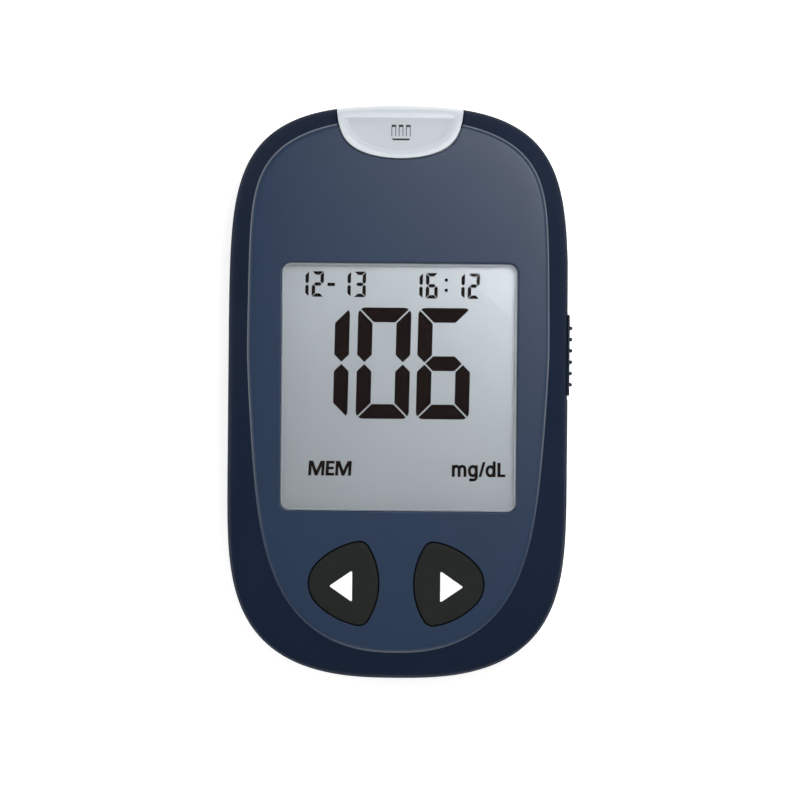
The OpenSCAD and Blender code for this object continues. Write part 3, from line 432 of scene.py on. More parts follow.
def blocksAt(x, y, sizes, *names):
    # sizes gives each name a half width about x, a start and an end from y, a low and a high
    made = []
    for name in names:
        half, startY, endY, lowZ, highZ = sizes[name]
        made.append(block(name, (x - half, y + startY, lowZ), (x + half, y + endY, highZ)))
    return made


def turnsOf(count):
    return [2 * pi * i / count for i in range(count)]


def circle(x, y, radius, count=48):
    return [(x + radius * cos(t), y + radius * sin(t)) for t in turnsOf(count)]


def rod(name, x, y, radius, lowZ, highZ, count=48):
    return plate(name, circle(x, y, radius, count), lowZ, highZ)


def turned(name, x, y, profile, count):
    # lathe work: profile is (radius, height) pairs, lowest first
    return stack(name, [(circle(x, y, radius, count), z) for radius, z in profile])


def alongX(name, profiles):
    # closed solid through (x, profile) pairs, each profile of (y, z) points
    return facesOut(loft(name, [[(x, y, z) for y, z in profile] for x, profile in profiles]))


def barAlongX(name, profile, lowX, highX):
    return alongX(name, [(lowX, profile), (highX, profile)])


def roundedRectangle(width, length, radius, x=0, y=0, perCorner=8):
    points = []
    for sideX, sideY, start in ((1, 1, 0), (-1, 1, 90), (-1, -1, 180), (1, -1, 270)):
        for i in range(perCorner + 1):
            turn = radians(start + 90 * i / perCorner)
            points.append((
                x + sideX * (width / 2 - radius) + radius * cos(turn),
                y + sideY * (length / 2 - radius) + radius * sin(turn),
            ))
    return points


def outlineAround(sizes, grow=0.0, radius=None):
    # the rounded rectangle in a piece's dictionary, with a margin
    return roundedRectangle(
        sizes["width"] + 2 * grow, sizes["length"] + 2 * grow,
        sizes["radius"] + grow if radius is None else radius, sizes["x"], sizes["y"],
    )


def densified(outline, step):
    # the same outline with no side longer than step
    points = []
    for (x0, y0), (x1, y1) in zip(outline, outline[1:] + outline[:1]):
        parts = max(1, ceil(hypot(x1 - x0, y1 - y0) / step))
        points += [(x0 + (x1 - x0) * i / parts, y0 + (y1 - y0) * i / parts) for i in range(parts)]
    return points


def grown(outline, distance):
    # outline moved outwards, square to its own line
    points = []
    for i, (x, y) in enumerate(outline):
        (xa, ya), (xb, yb) = outline[i - 1], outline[(i + 1) % len(outline)]
        before = Vector((y - ya, xa - x)).normalized()
        after = Vector((yb - y, x - xb)).normalized()
        normal = (before + after).normalized()
        reach = distance / max(0.5, normal.dot(before))
        points.append((x + normal.x * reach, y + normal.y * reach))
    return points


def smoothLine(controls, steps):
    # smooth line through (a, b) pairs that starts along b
    ahead = (controls[1][0], 2 * controls[0][1] - controls[1][1])
    past = tuple(2 * end - near for end, near in zip(controls[-1], controls[-2]))
    padded = [ahead, *controls, past]
    points = []
    for quad in zip(padded, padded[1:], padded[2:], padded[3:]):
        for t in (step / steps for step in range(steps)):
            points.append(tuple(
                0.5 * (2 * b + (c - a) * t + (2 * a - 5 * b + 4 * c - d) * t ** 2
                       + (3 * b - a - 3 * c + d) * t ** 3)
                for a, b, c, d in zip(*quad)
            ))
    return [*points, controls[-1]]


def quarterRound(radius, steps):
    # offsets that round an edge off, from its flat side to its upright side
    turns = [pi / 2 * step / steps for step in range(steps + 1)]
    return [(radius * (1 - cos(t)), radius * (1 - sin(t))) for t in turns]


def stepsIn(outline, edge, level, way=1):
    # outlines that draw in by the first number of each step, as far above the level as its second
    return [(grown(outline, -inset), level + way * rise) for inset, rise in edge]


def softPrism(name, outline, lowZ, highZ, rounding, side, heightAt):
    # upright solid whose edge is rounded where it meets a skin: side 1 for a cutter that
    # opens wider there, -1 for a plug that draws in
    rings = [atHeight(outline, lowZ)]
    for drop, out in reversed(quarterRound(rounding, 6)):
        rings.append([(x, y, heightAt(x, y) - drop) for x, y in grown(outline, side * out)])
    rings.append([(x, y, highZ) for x, y, z in rings[-1]])
    return loft(name, rings)


def newTree(name, **inputs):
    # inputs are named with _ for a space; each tree is also given the material that it sets last
    tree = bpy.data.node_groups.new(name, "GeometryNodeTree")
    for label, kind in {**inputs, "Material": "Material"}.items():
        tree.interface.new_socket(label.replace("_", " "), in_out="INPUT", socket_type="NodeSocket" + kind)
    tree.interface.new_socket("Geometry", in_out="OUTPUT", socket_type="NodeSocketGeometry")
    return tree, tree.nodes.new("NodeGroupInput").outputs


def shapeNode(tree, kind, output="Geometry", **sockets):
    return addNode(tree, "GeometryNode" + kind, **sockets).outputs[output]


def copiesOn(tree, points, given):
    # the given shape on every point
    shape = shapeNode(tree, "ObjectInfo", Object=given["Shape"])
    return shapeNode(tree, "InstanceOnPoints", "Instances", Points=points, Instance=shape)


def closeTree(tree, geometry, given):
    whole = shapeNode(tree, "RealizeInstances", Geometry=geometry)
    painted = shapeNode(tree, "SetMaterial", Geometry=whole, Material=given["Material"])
    tree.links.new(painted, tree.nodes.new("NodeGroupOutput").inputs[0])
    return tree


def growPiece(piece, tree, material, values):
    # runs a tree once with its inputs set by name, and keeps the plain mesh
    values = {**values, "Material": materials[material]}
    step = piece.modifiers.new(tree.name, "NODES")
    step.node_group = tree
    for item in tree.interface.items_tree:
        if item.in_out == "INPUT" and item.name in values:
            step[item.identifier] = values[item.name]
    settle(piece)
    if "Shape" in values:
        useUp(values["Shape"])
    return piece


def pointsTree():
    # sets a copy of one shape on every point of the piece's own mesh
    tree, given = newTree("shapeOnPoints", Points="Geometry", Shape="Object")
    return closeTree(tree, copiesOn(tree, given["Points"], given), given)


def rowTree():
    # a row of copies of one shape, a step apart along Y
    tree, given = newTree("shapeRow", Shape="Object", Count="Int", Start="Vector", Step="Vector")
    places = {"Count": given["Count"], "Start_Location": given["Start"], "Offset": given["Step"]}
    return closeTree(tree, copiesOn(tree, shapeNode(tree, "MeshLine", "Mesh", **places), given), given)


def rowOf(name, shape, material, sizes):
    start, step = (Vector((0, sizes[size], 0)) * mm for size in ("startY", "pitch"))
    values = {"Shape": shape, "Count": sizes["count"], "Start": start, "Step": step}
    return growPiece(meshPiece(name, [], []), rowTree(), material, values)


# the body and the raised face are each two superellipse halves that meet at the widest line;
# a half is its length from there, its two powers (across, along) and its taper
bodyShape = {
    "halfWidth": backHigh.x, "widestY": -11.4,
    "top": (backHigh.y + 11.4, 2.75, 7.4, 0), "bottom": (-11.4 - backLow.y, 2.66, 4, 0),
}
faceShape = {
    "halfWidth": backHigh.x - 3.42, "widestY": 7.7,
    "top": (backHigh.y - 2.65 - 7.7, 2.18, 6.7, 0.022),
    "bottom": (7.7 - backLow.y - 4.72, 2.32, 5.1, 0.137),
}
taperSoftness = 0.1  # how gently a half's taper sets in from the widest line
farthest = 70        # no outline reaches further than this from the origin


def reachOf(shape, inset, x, y):
    # under 1 inside the outline that lies inset within the shape, over 1 outside it
    length, across, along, taper = shape["top" if y >= shape["widestY"] else "bottom"]
    t = abs(y - shape["widestY"]) / (length - inset)
    eased = hypot(min(t, 1), taperSoftness) - taperSoftness
    halfWidth = (shape["halfWidth"] - inset) * (1 - taper * eased)
    return (abs(x) / halfWidth) ** across + t ** along


def halved(isNear, high, times):
    # where isNear stops being true between 0 and high
    low = 0
    for _ in range(times):
        middle = (low + high) / 2
        low, high = (middle, high) if isNear(middle) else (low, middle)
    return (low + high) / 2


def radiusAt(shape, inset, turn):
    # distance from the origin to the outline in a direction
    c, s = cos(turn), sin(turn)
    return halved(lambda r: reachOf(shape, inset, r * c, r * s) < 1, farthest, 32)


def insetAt(shape, x, y):
    return halved(lambda inset: reachOf(shape, inset, x, y) < 1, shape["halfWidth"] - 1, 26)


def outlineOf(shape, inset, around=240):
    turns = turnsOf(around)
    radii = [radiusAt(shape, inset, t) for t in turns]
    return [(r * cos(t), r * sin(t)) for r, t in zip(radii, turns)]


def levelAt(line, inset):
    # height on a line of (inset, height) pairs
    for (a, low), (b, high) in zip(line, line[1:]):
        if inset <= b:
            return low + (high - low) * max(0, inset - a) / (b - a)
    return line[-1][1]


frontCover = {
    "around": 360, "rimSteps": 6, "chamfer": 0.12,
    "rim": ((0.0, 0.0), (0.35, 3.0), (1.25, 5.6)),   # inset from the side, height above the seam
    "crease": 1.1,                                   # the crease lies this far below the face
    "edgeRise": 0.75, "edgeWidth": 0.22,             # rounded step just inside the crease
    "crownRise": 0.35, "crownWidth": 5.0,            # and the gentle crown after it
    "faceInsets": (
        0.04, 0.08, 0.12, 0.17, 0.22, 0.28, 0.35, 0.45, 0.6, 0.9, 1.4, 2, 2.8, 4, 5.5, 7.5, 10, 13, 16, 19,
        21.5, 23.5,
    ),
    "lipRoom": 0.7, "lip": 0.9,
    "hollow": ((1.6, 1.0), (1.95, 2.8), (2.75, 5)),  # inset from the side, height above the seam
    "faceHollow": ((0.9, 2.6), (1.8, 1.7)),          # inset from the face's edge, depth below it
    "holeLowZ": 15, "windowRounding": 0.3, "keyRounding": 0.1, "capRounding": 0.18,
    "lensSeat": (1.0, 16, 18.9),                     # margin round the window, from and to
    "boss": {"radius": 2.3, "lowZ": 9.9, "skin": 0.5, "faceSkin": 1.2, "hole": 1.02, "holeZ": (9, 14.4)},
}
window = {"width": 39.1, "length": 41.1, "radius": 1.5, "x": 0.2, "y": 0.8}
keyGap, capGap = 0.2, 0.15
sideLand = ((28.33, -1.0, -1), (30, 21.8, 21))
armSlot = ((24.1, -0.1, 9.95), (30, 12.9, 11.75))
screwPlaces = [(side * x, y) for x, y in ((17.5, 37.5), (17, -38)) for side in (-1, 1)]
creaseZ = faceZ - frontCover["crease"]
clearZ = 22  # above all of the case


def faceHeight(inset):
    step = frontCover["edgeRise"] * exp(-(inset / frontCover["edgeWidth"]) ** 1.4)
    crown = frontCover["crownRise"] * exp(-inset / frontCover["crownWidth"])
    return faceZ - step - crown


def rimColumn(turn):
    # (distance from the origin, height) pairs from the seam up to the crease
    controls = [(radiusAt(bodyShape, inset, turn), seamZ + rise) for inset, rise in frontCover["rim"]]
    controls.append((radiusAt(faceShape, 0, turn), creaseZ))
    return smoothLine(controls, frontCover["rimSteps"])


def skinHeight(x, y):
    # height of the front cover's outside over a point of the plan
    if reachOf(faceShape, 0, x, y) < 1:
        return faceHeight(insetAt(faceShape, x, y))
    reach = hypot(x, y)
    column = rimColumn(atan2(y, x))
    for (r0, z0), (r1, z1) in zip(column, column[1:]):
        if r1 <= reach <= r0:
            return z0 + (z1 - z0) * (r0 - reach) / (r0 - r1)
    return seamZ


def frontSkin():
    chamfer = frontCover["chamfer"]
    columns = []
    for turn in turnsOf(frontCover["around"]):
        rim = rimColumn(turn)
        column = [(rim[0][0] - chamfer, seamZ), (rim[0][0], seamZ + chamfer), *rim[1:]]
        for inset in frontCover["faceInsets"]:
            column.append((radiusAt(faceShape, inset, turn), faceHeight(inset)))
        columns.append([(r * cos(turn), r * sin(turn), z) for r, z in column])
    return loft("frontCover", list(zip(*columns)))


def frontHollow():
    lipOutline, lipRise = outlineOf(bodyShape, frontCover["lipRoom"]), frontCover["hollow"][0][1]
    levels = [(lipOutline, seamZ - 1), (lipOutline, seamZ + lipRise)]
    levels += [(outlineOf(bodyShape, inset), seamZ + rise) for inset, rise in frontCover["hollow"]]
    levels += [(outlineOf(faceShape, inset), faceZ - drop) for inset, drop in frontCover["faceHollow"]]
    return stack("hollow", levels)


def smoothFace(mesh):
    # the face's true normals, so that the long triangles around its openings don't show
    normals = [corner.vector.copy() for corner in mesh.corner_normals]
    known = {}
    step = 0.05
    for face in mesh.polygons:
        if face.material_index != 1 or face.normal.z < 0.98:
            continue
        for corner in face.loop_indices:
            index = mesh.loops[corner].vertex_index
            if index not in known:
                x, y, z = mesh.vertices[index].co / mm
                fallX = skinHeight(x - step, y) - skinHeight(x + step, y)
                fallY = skinHeight(x, y - step) - skinHeight(x, y + step)
                onSkin = abs(z - skinHeight(x, y)) < 0.01 and reachOf(faceShape, 0.1, x, y) < 1
                known[index] = Vector((fallX, fallY, 2 * step)).normalized() if onSkin else None
            if known[index]:
                normals[corner] = known[index]
    mesh.normals_split_custom_set(normals)


def makeFrontCover():
    cover = frontSkin()
    cut(cover, frontHollow())
    boss = frontCover["boss"]
    for x, y in screwPlaces:
        top = min(skinHeight(*spot) for spot in circle(x, y, boss["radius"], 16)) - boss["skin"]
        join(cover, rod("boss", x, y, boss["radius"], boss["lowZ"], min(top, faceZ - boss["faceSkin"])))

    def hole(outline, lowZ, rounding):
        return softPrism("hole", outline, lowZ, clearZ, frontCover[rounding], 1, skinHeight)

    keyHole, lowZ = keyOutline(keyGap), frontCover["holeLowZ"]
    seatMargin, *seatZ = frontCover["lensSeat"]
    cut(
        cover, hole(densified(outlineAround(window), 0.8), lowZ, "windowRounding"),
        plate("lensSeat", outlineAround(window, seatMargin), *seatZ),
        hole(densified(capOutline(capGap), 0.5), seamZ - 1, "capRounding"),
        block("land", *sideLand), block("slot", *armSlot), hole(keyHole, lowZ, "keyRounding"),
        hole([(-x, y) for x, y in reversed(keyHole)], lowZ, "keyRounding"),
        *[rod("screwHole", x, y, boss["hole"], *boss["holeZ"]) for x, y in screwPlaces],
    )
    finish(cover, "coverBlue", "meter", "cover_blue", "front_cover")

    def isFace(x, y, z, _):
        return int(z > creaseZ and reachOf(faceShape, -0.01, x, y) < 1)

    # the face inside the crease gets the lighter copy of the blue, which is painted light
    paintFaces(cover, ["faceBlue"], isFace)
    smoothFace(cover.data)


backCover = {
    "around": 240, "rows": 18, "roll": 3.2, "rollPowers": (1.8, 2.5), "wall": 1.6, "chamfer": 0.12,
    "innerRoll": 2.9, "lipThickness": 0.8, "doorGap": 0.2, "edgeRounding": 0.2, "labelRounding": 0.08,
    "post": (3, 0.8, 8.5), "counterbore": (2.1, 3.0), "screwHole": (1.1, 2, 9),
    "cellGap": 0.3, "cellPocket": (1, 6.4), "leadX": 21.1, "hookX": 12, "notchTopZ": 5.0,
    # half width, start and end along Y, low and high; the first three lie round a coin cell
    "springSlot": (1.6, -2, 6.6, 5.4, 6.9), "leadSlot": (1.6, 4.6, 6.6, 5.4, 8.6),
    "sideSlot": (0.7, -2.2, 2.2, 1.6, 8.6), "hookSlot": (2.8, -0.4, 3.4, 1.6, 3.5),
    "bay": (22.4, -23.7, 5.1, 0.8, 7.4), "latchHouse": (6.1, -28.6, -22.7, 0.8, 6.2),
    "catchSlot": (4.8, -27.4, -21.2, 1.6, 5.0),
    "jack": {"y": 12.5, "z": 5.9, "radius": 2.7, "x": (-31, -20)},
    "soundHoles": {"centre": (13, 12.5, 0), "radius": 0.6, "ring": 2.4, "count": 6, "depth": 6},
}
# edge, can and lid: how far in, and how far from the low or (for the lid) the high side
door = {
    "width": 42.4, "length": 23.8, "radius": 1, "x": 0, "y": -10.3, "lowZ": 0.1, "highZ": 1.5,
    "edge": ((0.15, 0), (0.04, 0.04), (0, 0.15)),
}
fingerNotch = {"width": 9.6, "length": 4.9, "radius": 0.5, "x": 0, "y": -23.45}
label = {
    "width": 34, "length": 17, "radius": 1.8, "x": 0, "y": 29, "lowZ": 0.1, "highZ": 0.2,
    "edge": ((0.06, 0), (0, 0.04)),
}
cell = {
    "x": 10.5, "y": -10.6, "radius": 10, "lowZ": 2.1, "highZ": 5.3, "sides": 96,
    "can": ((9.6, 0.12), (2.2, 0.12), (1.9, 0), (0.5, 0), (0.15, 0.15), (0, 0.5)),
    "lid": ((0, 0.75), (0.12, 0.58), (0.4, 0.5), (1, 0.55), (1.15, 0.4), (1.3, 0.15), (1.7, 0), (9.6, 0)),
}


def caseLoftTree():
    # a closed shell that follows the body's outline: straight-sided at the seam, rolled in to a
    # flat bottom; columns run round it and rows run up it
    sizes = (
        "Half_Width", "Widest_Y", "Top_Length", "Top_Across", "Top_Along", "Bottom_Length",
        "Bottom_Across", "Bottom_Along", "Inset", "Roll", "Roll_Across", "Roll_Along", "Low_Z", "High_Z",
        "Chamfer",
    )
    tree, given = newTree("caseLoft", Around="Int", Rows="Int", **dict.fromkeys(sizes, "Float"))
    add, less, times, over, power, timesAdd, floor, highest, isOver = (
        functools.partial(calc, tree, operation) for operation in (
            "ADD", "SUBTRACT", "MULTIPLY", "DIVIDE", "POWER", "MULTIPLY_ADD", "FLOOR", "MAXIMUM",
            "GREATER_THAN",
        )
    )

    def between(factor, low, high):
        return timesAdd(factor, less(high, low), low)

    def lessOne(value):
        return highest(less(1, value), 0)

    rowsAll = add(given["Rows"], 3)
    index = add(tree.nodes.new("GeometryNodeInputIndex").outputs[0], 0.5)
    column = floor(over(index, rowsAll))
    row = floor(calc(tree, "MODULO", index, rowsAll))

    # where the row stands: the first and last close the shell, the last but one is the chamfer
    stepUp = over(less(row, 1), less(given["Rows"], 1))
    rise = power(calc(tree, "MINIMUM", highest(stepUp, 0), 1), 2.2)
    isLast = isOver(row, add(given["Rows"], 1.5))
    isClosed = add(isLast, calc(tree, "LESS_THAN", row, 0.5))
    chamfer = times(isOver(row, add(given["Rows"], 0.5)), given["Chamfer"])
    height = add(between(rise, given["Low Z"], less(given["High Z"], given["Chamfer"])), chamfer)
    rolled = power(lessOne(rise), given["Roll Across"])
    rolled = lessOne(power(lessOne(rolled), over(1, given["Roll Along"])))
    inset = timesAdd(rolled, given["Roll"], add(given["Inset"], chamfer))
    inset = between(isClosed, inset, given["Half Width"])

    # where the column stands on the outline
    part = over(column, given["Around"])
    turn = times(part, 2 * pi)
    quarter = calc(tree, "PINGPONG", times(part, 4), 1)
    isUpper = isOver(calc(tree, "SINE", turn), -1e-6)
    length, acrossPower, alongPower = (
        between(isUpper, given["Bottom " + size], given["Top " + size])
        for size in ("Length", "Across", "Along")
    )
    along = lessOne(power(lessOne(quarter), 2.2))
    across = power(lessOne(power(along, alongPower)), over(1, acrossPower))
    sideways = times(calc(tree, "SIGN", calc(tree, "COSINE", turn)), across)
    x = times(sideways, less(given["Half Width"], inset))
    y = timesAdd(times(timesAdd(isUpper, 2, -1), along), less(length, inset), given["Widest Y"])

    grid = shapeNode(tree, "MeshGrid", "Mesh", Vertices_X=add(given["Around"], 1), Vertices_Y=rowsAll)
    place = addNode(tree, "ShaderNodeCombineXYZ", X=x, Y=y, Z=height)
    metres = tree.nodes.new("ShaderNodeVectorMath")
    metres.operation = "SCALE"
    tree.links.new(place.outputs[0], metres.inputs[0])
    metres.inputs["Scale"].default_value = mm
    shaped = shapeNode(tree, "SetPosition", Geometry=grid, Position=metres.outputs[0])
    return closeTree(tree, shapeNode(tree, "MergeByDistance", Geometry=shaped, Distance=1e-7), given)


def caseShell(name, tree, inset, roll, lowZ, highZ, chamfer):
    across, along = backCover["rollPowers"]
    sizes = {
        "Around": backCover["around"], "Rows": backCover["rows"],
        "Half Width": bodyShape["halfWidth"], "Widest Y": bodyShape["widestY"],
        "Inset": inset, "Roll": roll, "Roll Across": across, "Roll Along": along,
        "Low Z": lowZ, "High Z": highZ, "Chamfer": chamfer,
    }
    for end in ("Top", "Bottom"):
        for size, value in zip((" Length", " Across", " Along"), bodyShape[end.lower()]):
            sizes[end + size] = value
    return growPiece(meshPiece(name, [], []), tree, "coverBlueDark", sizes)


def makeSoundHoles():
    # one hole in the middle and a ring of the same holes round it
    tree, given = newTree(
        "soundHoles", Centre="Vector", Ring="Float", Count="Int", Radius="Float", Depth="Float",
    )
    places = tree.nodes.new("GeometryNodeJoinGeometry")
    for spots in (
        shapeNode(tree, "MeshCircle", "Mesh", Vertices=given["Count"], Radius=given["Ring"]),
        shapeNode(tree, "MeshLine", "Mesh", Count=1),
    ):
        tree.links.new(spots, places.inputs[0])
    size = {"Vertices": 24, "Radius": given["Radius"], "Depth": given["Depth"]}
    hole = shapeNode(tree, "MeshCylinder", "Mesh", **size)
    holes = shapeNode(tree, "InstanceOnPoints", "Instances", Points=places.outputs[0], Instance=hole)
    closeTree(tree, shapeNode(tree, "Transform", Geometry=holes, Translation=given["Centre"]), given)
    sound = backCover["soundHoles"]
    return growPiece(meshPiece("soundHoles", [], []), tree, "coverBlueDark", {
        "Centre": Vector(sound["centre"]) * mm, "Ring": sound["ring"] * mm, "Count": sound["count"],
        "Radius": sound["radius"] * mm, "Depth": sound["depth"] * mm,
    })


def softPocket(outline, topZ, rounding=backCover["edgeRounding"]):
    # cutter for a pocket in the flat back, with its edge rounded
    levels = [(grown(outline, rounding), -1)]
    levels += [(grown(outline, out), rise) for rise, out in quarterRound(rounding, 5)]
    return stack("pocket", [*levels, (outline, topZ)])


def makeBackCover():
    tree = caseLoftTree()
    wall, roll = backCover["wall"], backCover["roll"]
    cover = caseShell("backCover", tree, 0, roll, 0, seamZ, backCover["chamfer"])
    lip = outlineOf(bodyShape, wall - backCover["lipThickness"])
    lipTop = seamZ + frontCover["lip"]
    join(cover, plate("lip", lip, seamZ - 1, lipTop))
    cut(cover, caseShell("hollow", tree, wall, backCover["innerRoll"], wall, lipTop + 0.4, 0))
    cut(cover, plate("notch", capOutline(capGap), seamZ, lipTop + 1))
    postRadius, *postZ = backCover["post"]
    posts = [rod("post", x, y, postRadius, *postZ) for x, y in screwPlaces]
    join(cover, *blocksAt(0, 0, backCover, "bay", "latchHouse"), *posts)

    radius, depth = backCover["counterbore"]
    holeRadius, *holeZ = backCover["screwHole"]
    cutters = [
        softPocket(densified(outlineAround(door, backCover["doorGap"]), 2), cell["lowZ"]),
        block("land", *sideLand), block("slot", *armSlot),
        softPocket(outlineAround(label, 0.2), label["highZ"], backCover["labelRounding"]),
        *[softPocket(circle(x, y, radius), depth) for x, y in screwPlaces],
        *[rod("screwHole", x, y, holeRadius, *holeZ) for x, y in screwPlaces],
    ]
    for side in (-1, 1):
        x, y, radius = side * cell["x"], cell["y"], cell["radius"] + backCover["cellGap"]
        cutters.append(rod("cellPocket", x, y, radius, *backCover["cellPocket"], 96))
        cutters += blocksAt(x, y, backCover, "springSlot", "leadSlot")
        cutters += blocksAt(side * backCover["leadX"], y, backCover, "sideSlot")
        cutters += blocksAt(side * backCover["hookX"], 0, backCover, "hookSlot")
    cutters.append(softPocket(outlineAround(fingerNotch), backCover["notchTopZ"]))
    cutters += blocksAt(0, 0, backCover, "catchSlot")
    jack = backCover["jack"]
    cutters.append(barAlongX("jackHole", circle(jack["y"], jack["z"], jack["radius"]), *jack["x"]))
    cut(cover, *cutters, makeSoundHoles())
    finish(cover, "coverBlueDark", "meter", "cover_blue_dark", "back_cover")


stripCap = {
    "width": 21.4, "endY": 38.7, "softness": 2.4, "power": 0.52, "steps": 60,
    # inset from the side, height: a steep end, a rounded shoulder, then nearly flat
    "skin": ((0, 9.7), (0.25, 13), (0.55, 16), (0.85, 17.6), (1.15, 18.3), (1.6, 18.72), (2.2, 19.05),
             (3, 19.38), (4.2, 19.63), (6, 19.8), (8, 19.87), (9.3, 19.9)),
    "edgeRounding": 0.18, "flange": (1.2, 43.9, 17.2, 18.15),
    "border": 0.9, "dishEndY": 45.95, "dishDepth": 0.45, "dishMiddleY": 43.2,
    # how far outside the dish's edge, and how much of its depth is reached there
    "dishEdge": (
        (0.55, -0.02), (0.4, 0.05), (0.24, 0.16), (0.08, 0.33), (-0.1, 0.55), (-0.28, 0.76), (-0.46, 0.9),
        (-0.68, 1),
    ),
    "dishRings": (0.8, 0.6, 0.4, 0.2, 0.06), "ringInset": 0.7,
    "wall": 1.3, "innerEndY": 44.9, "innerZ": (8, 17.4), "fingerRoom": (12, 20, 44.9, 8, 16.3),
    "slot": (3.6, 40, 50, 11.55, 12.65), "topFromZ": 17.6,
    # where the strip's mouth stands, half its width, how much wider up and down, corner radius
    "mouth": ((46.4, 3.6, 0, 0.1), (48.6, 4.05, 1.4, 1.2)),
    "sign": {
        "x": 0.16, "top": 44.3, "middleY": 43, "halfWidth": 1.8, "pitch": 1.2, "slotWidth": 0.78,
        "topLength": 0.4, "sideWidth": 0.13, "sideLength": 1.85, "base": (3.05, 42.02, 0.32),
        "deep": 0.55, "shallow": 0.22,
    },
}


def capOutline(grow, endY=50.0):
    # rounded tongue that runs out towards the strip end
    startY = stripCap["endY"] - grow
    right = []
    for i in range(stripCap["steps"] + 1):
        along = (endY - startY) * (i / stripCap["steps"]) ** 2
        x = stripCap["width"] / 2 * (1 - exp(-along / stripCap["softness"])) ** stripCap["power"] + grow
        if x > 0.2:
            right.append((x, startY + along))
    return right + [(-x, y) for x, y in reversed(right)]


def softened(outline, reach, times):
    # evens out corners by moving each point towards its neighbours
    points = densified(outline, reach)
    for _ in range(times):
        later = points[1:] + points[:1]
        points = [
            tuple((a + 2 * b + c) / 4 for a, b, c in zip(points[i - 1], point, later[i]))
            for i, point in enumerate(points)
        ]
    return points


def makeStripCap():
    line = smoothLine(stripCap["skin"], 4)

    def heightAt(x, y):
        return levelAt(line, insetAt(bodyShape, x, y))

    cap = stack("stripPortCap", [(outlineOf(bodyShape, inset, 360), z) for inset, z in line])
    outline, rounding = densified(capOutline(0), 0.5), stripCap["edgeRounding"]
    combine(cap, "INTERSECT", softPrism("plug", outline, seamZ + 0.1, clearZ, rounding, -1, heightAt))
    grow, endY, *flangeZ = stripCap["flange"]
    join(cap, plate("flange", capOutline(grow, endY), *flangeZ))

    # the dish: its floor follows the skin at a steady depth, and its edge runs out softly
    edge = softened(capOutline(-stripCap["border"], stripCap["dishEndY"]), 0.35, 10)
    depth, middleY = stripCap["dishDepth"], stripCap["dishMiddleY"]
    rings = [atHeight(grown(edge, stripCap["dishEdge"][0][0]), clearZ)]
    for spreadOut, drop in stripCap["dishEdge"]:
        rings.append([(x, y, heightAt(x, y) - depth * drop) for x, y in grown(edge, spreadOut)])
    for part in stripCap["dishRings"]:
        within = grown(edge, -stripCap["ringInset"])
        ring = [(x * part, middleY + (y - middleY) * part) for x, y in within]
        rings.append([(x, y, heightAt(x, y) - depth) for x, y in ring])
    cut(cap, loft("dish", rings[::-1]))

    # hollow, open below so that the ejector's fingers can come forward, with the strip's slot
    inner = capOutline(-stripCap["wall"], stripCap["innerEndY"])
    cut(cap, plate("room", inner, *stripCap["innerZ"]), *blocksAt(0, 0, stripCap, "fingerRoom", "slot"))
    sign = stripCap["sign"]
    signZ = heightAt(sign["x"], sign["middleY"]) - depth
    for outlines, sunk in zip(signOutlines(sign), (sign["deep"], sign["shallow"])):
        cut(cap, *[plate("signGroove", outline, signZ - sunk, clearZ) for outline in outlines])
    low, high = stripCap["slot"][3:]
    mouth = []
    for placeY, half, flare, radius in stripCap["mouth"]:
        shape = roundedRectangle(2 * half, high - low + 2 * flare, radius, 0, (low + high) / 2, 4)
        mouth.append([(x, placeY, z) for x, z in shape])
    cut(cap, facesOut(loft("mouth", mouth)))
    finish(cap, "capGrey", "meter", "cap_grey", "strip_port_cap")

    # the dish's floor is painted darker grey as shade in the recess, and the sign's grooves near black as
    # painted shadow
    def dishOrSign(x, y, z, upwards):
        if z <= stripCap["topFromZ"]:
            return 0
        inSign = abs(x - sign["x"]) < sign["halfWidth"] and sign["base"][1] - 0.3 < y < sign["top"] + 0.1
        if inSign and z < heightAt(x, y) - depth - 0.05:
            return 2
        return int(abs(upwards) > 0.7 and z < heightAt(x, y) - depth * 0.9)

    paintFaces(cap, ["capGreyMatte", "signGrey"], dishOrSign)


def signOutlines(sign):
    # small sunk sign, deep parts then shallow ones: the tops and sides of three slots above a base line
    middles = [sign["x"] + i * sign["pitch"] for i in (-1, 0, 1)]
    width, topY, length = sign["slotWidth"], sign["top"], sign["topLength"]
    tops = [roundedRectangle(width, length, 0.06, x, topY - length / 2, 2) for x in middles]
    baseWidth, baseY, baseLength = sign["base"]
    half, low = baseWidth / 2, baseY - baseLength
    left = [(-half, baseY), (-half, baseY - 0.08), (0.25 - half, low)]
    base = [(sign["x"] + x, y) for x, y in left + [(-x, y) for x, y in reversed(left)]]
    thin, tall = sign["sideWidth"], sign["sideLength"]
    sides = [
        roundedRectangle(thin, tall, 0.03, x + side * (width - thin) / 2, topY - 0.1 - tall / 2, 1)
        for x in middles for side in (-1, 1)
    ]
    return [*tops, base], sides


keys = {
    "inX": 5.37, "outX": 15.36, "y": -31.79, "halfLength": 6.98,
    "bulges": (1.62, 2.39, 1.62), "radii": (4.67, 1.65, 1.65),
    "topZ": 20.08, "edgeRounding": 0.14, "dome": 0.04, "domeWidth": 1.3, "domeParts": (0.25, 0.5, 0.75, 1.0),
    "flangeGrow": 0.7, "flangeZ": (17.3, 18.2), "stem": {"x": 8.865, "radius": 1.5, "lowZ": 14.4},
}
arrow = {"tipX": 11.1, "baseX": 7.3, "y": -32.24, "half": 2.61, "corner": 0.17, "lowZ": 19.75, "topZ": 20.1}


def crossing(centreA, reachA, centreB, reachB, near):
    # where two circles cross, on the side where near is
    run = centreB - centreA
    apart = run.length
    along = (reachA ** 2 - reachB ** 2 + apart ** 2) / (2 * apart)
    run /= apart
    side = Vector((-run.y, run.x)) * sqrt(reachA ** 2 - along ** 2)
    foot = centreA + run * along
    return min((foot + side, foot - side), key=lambda spot: (spot - near).length)


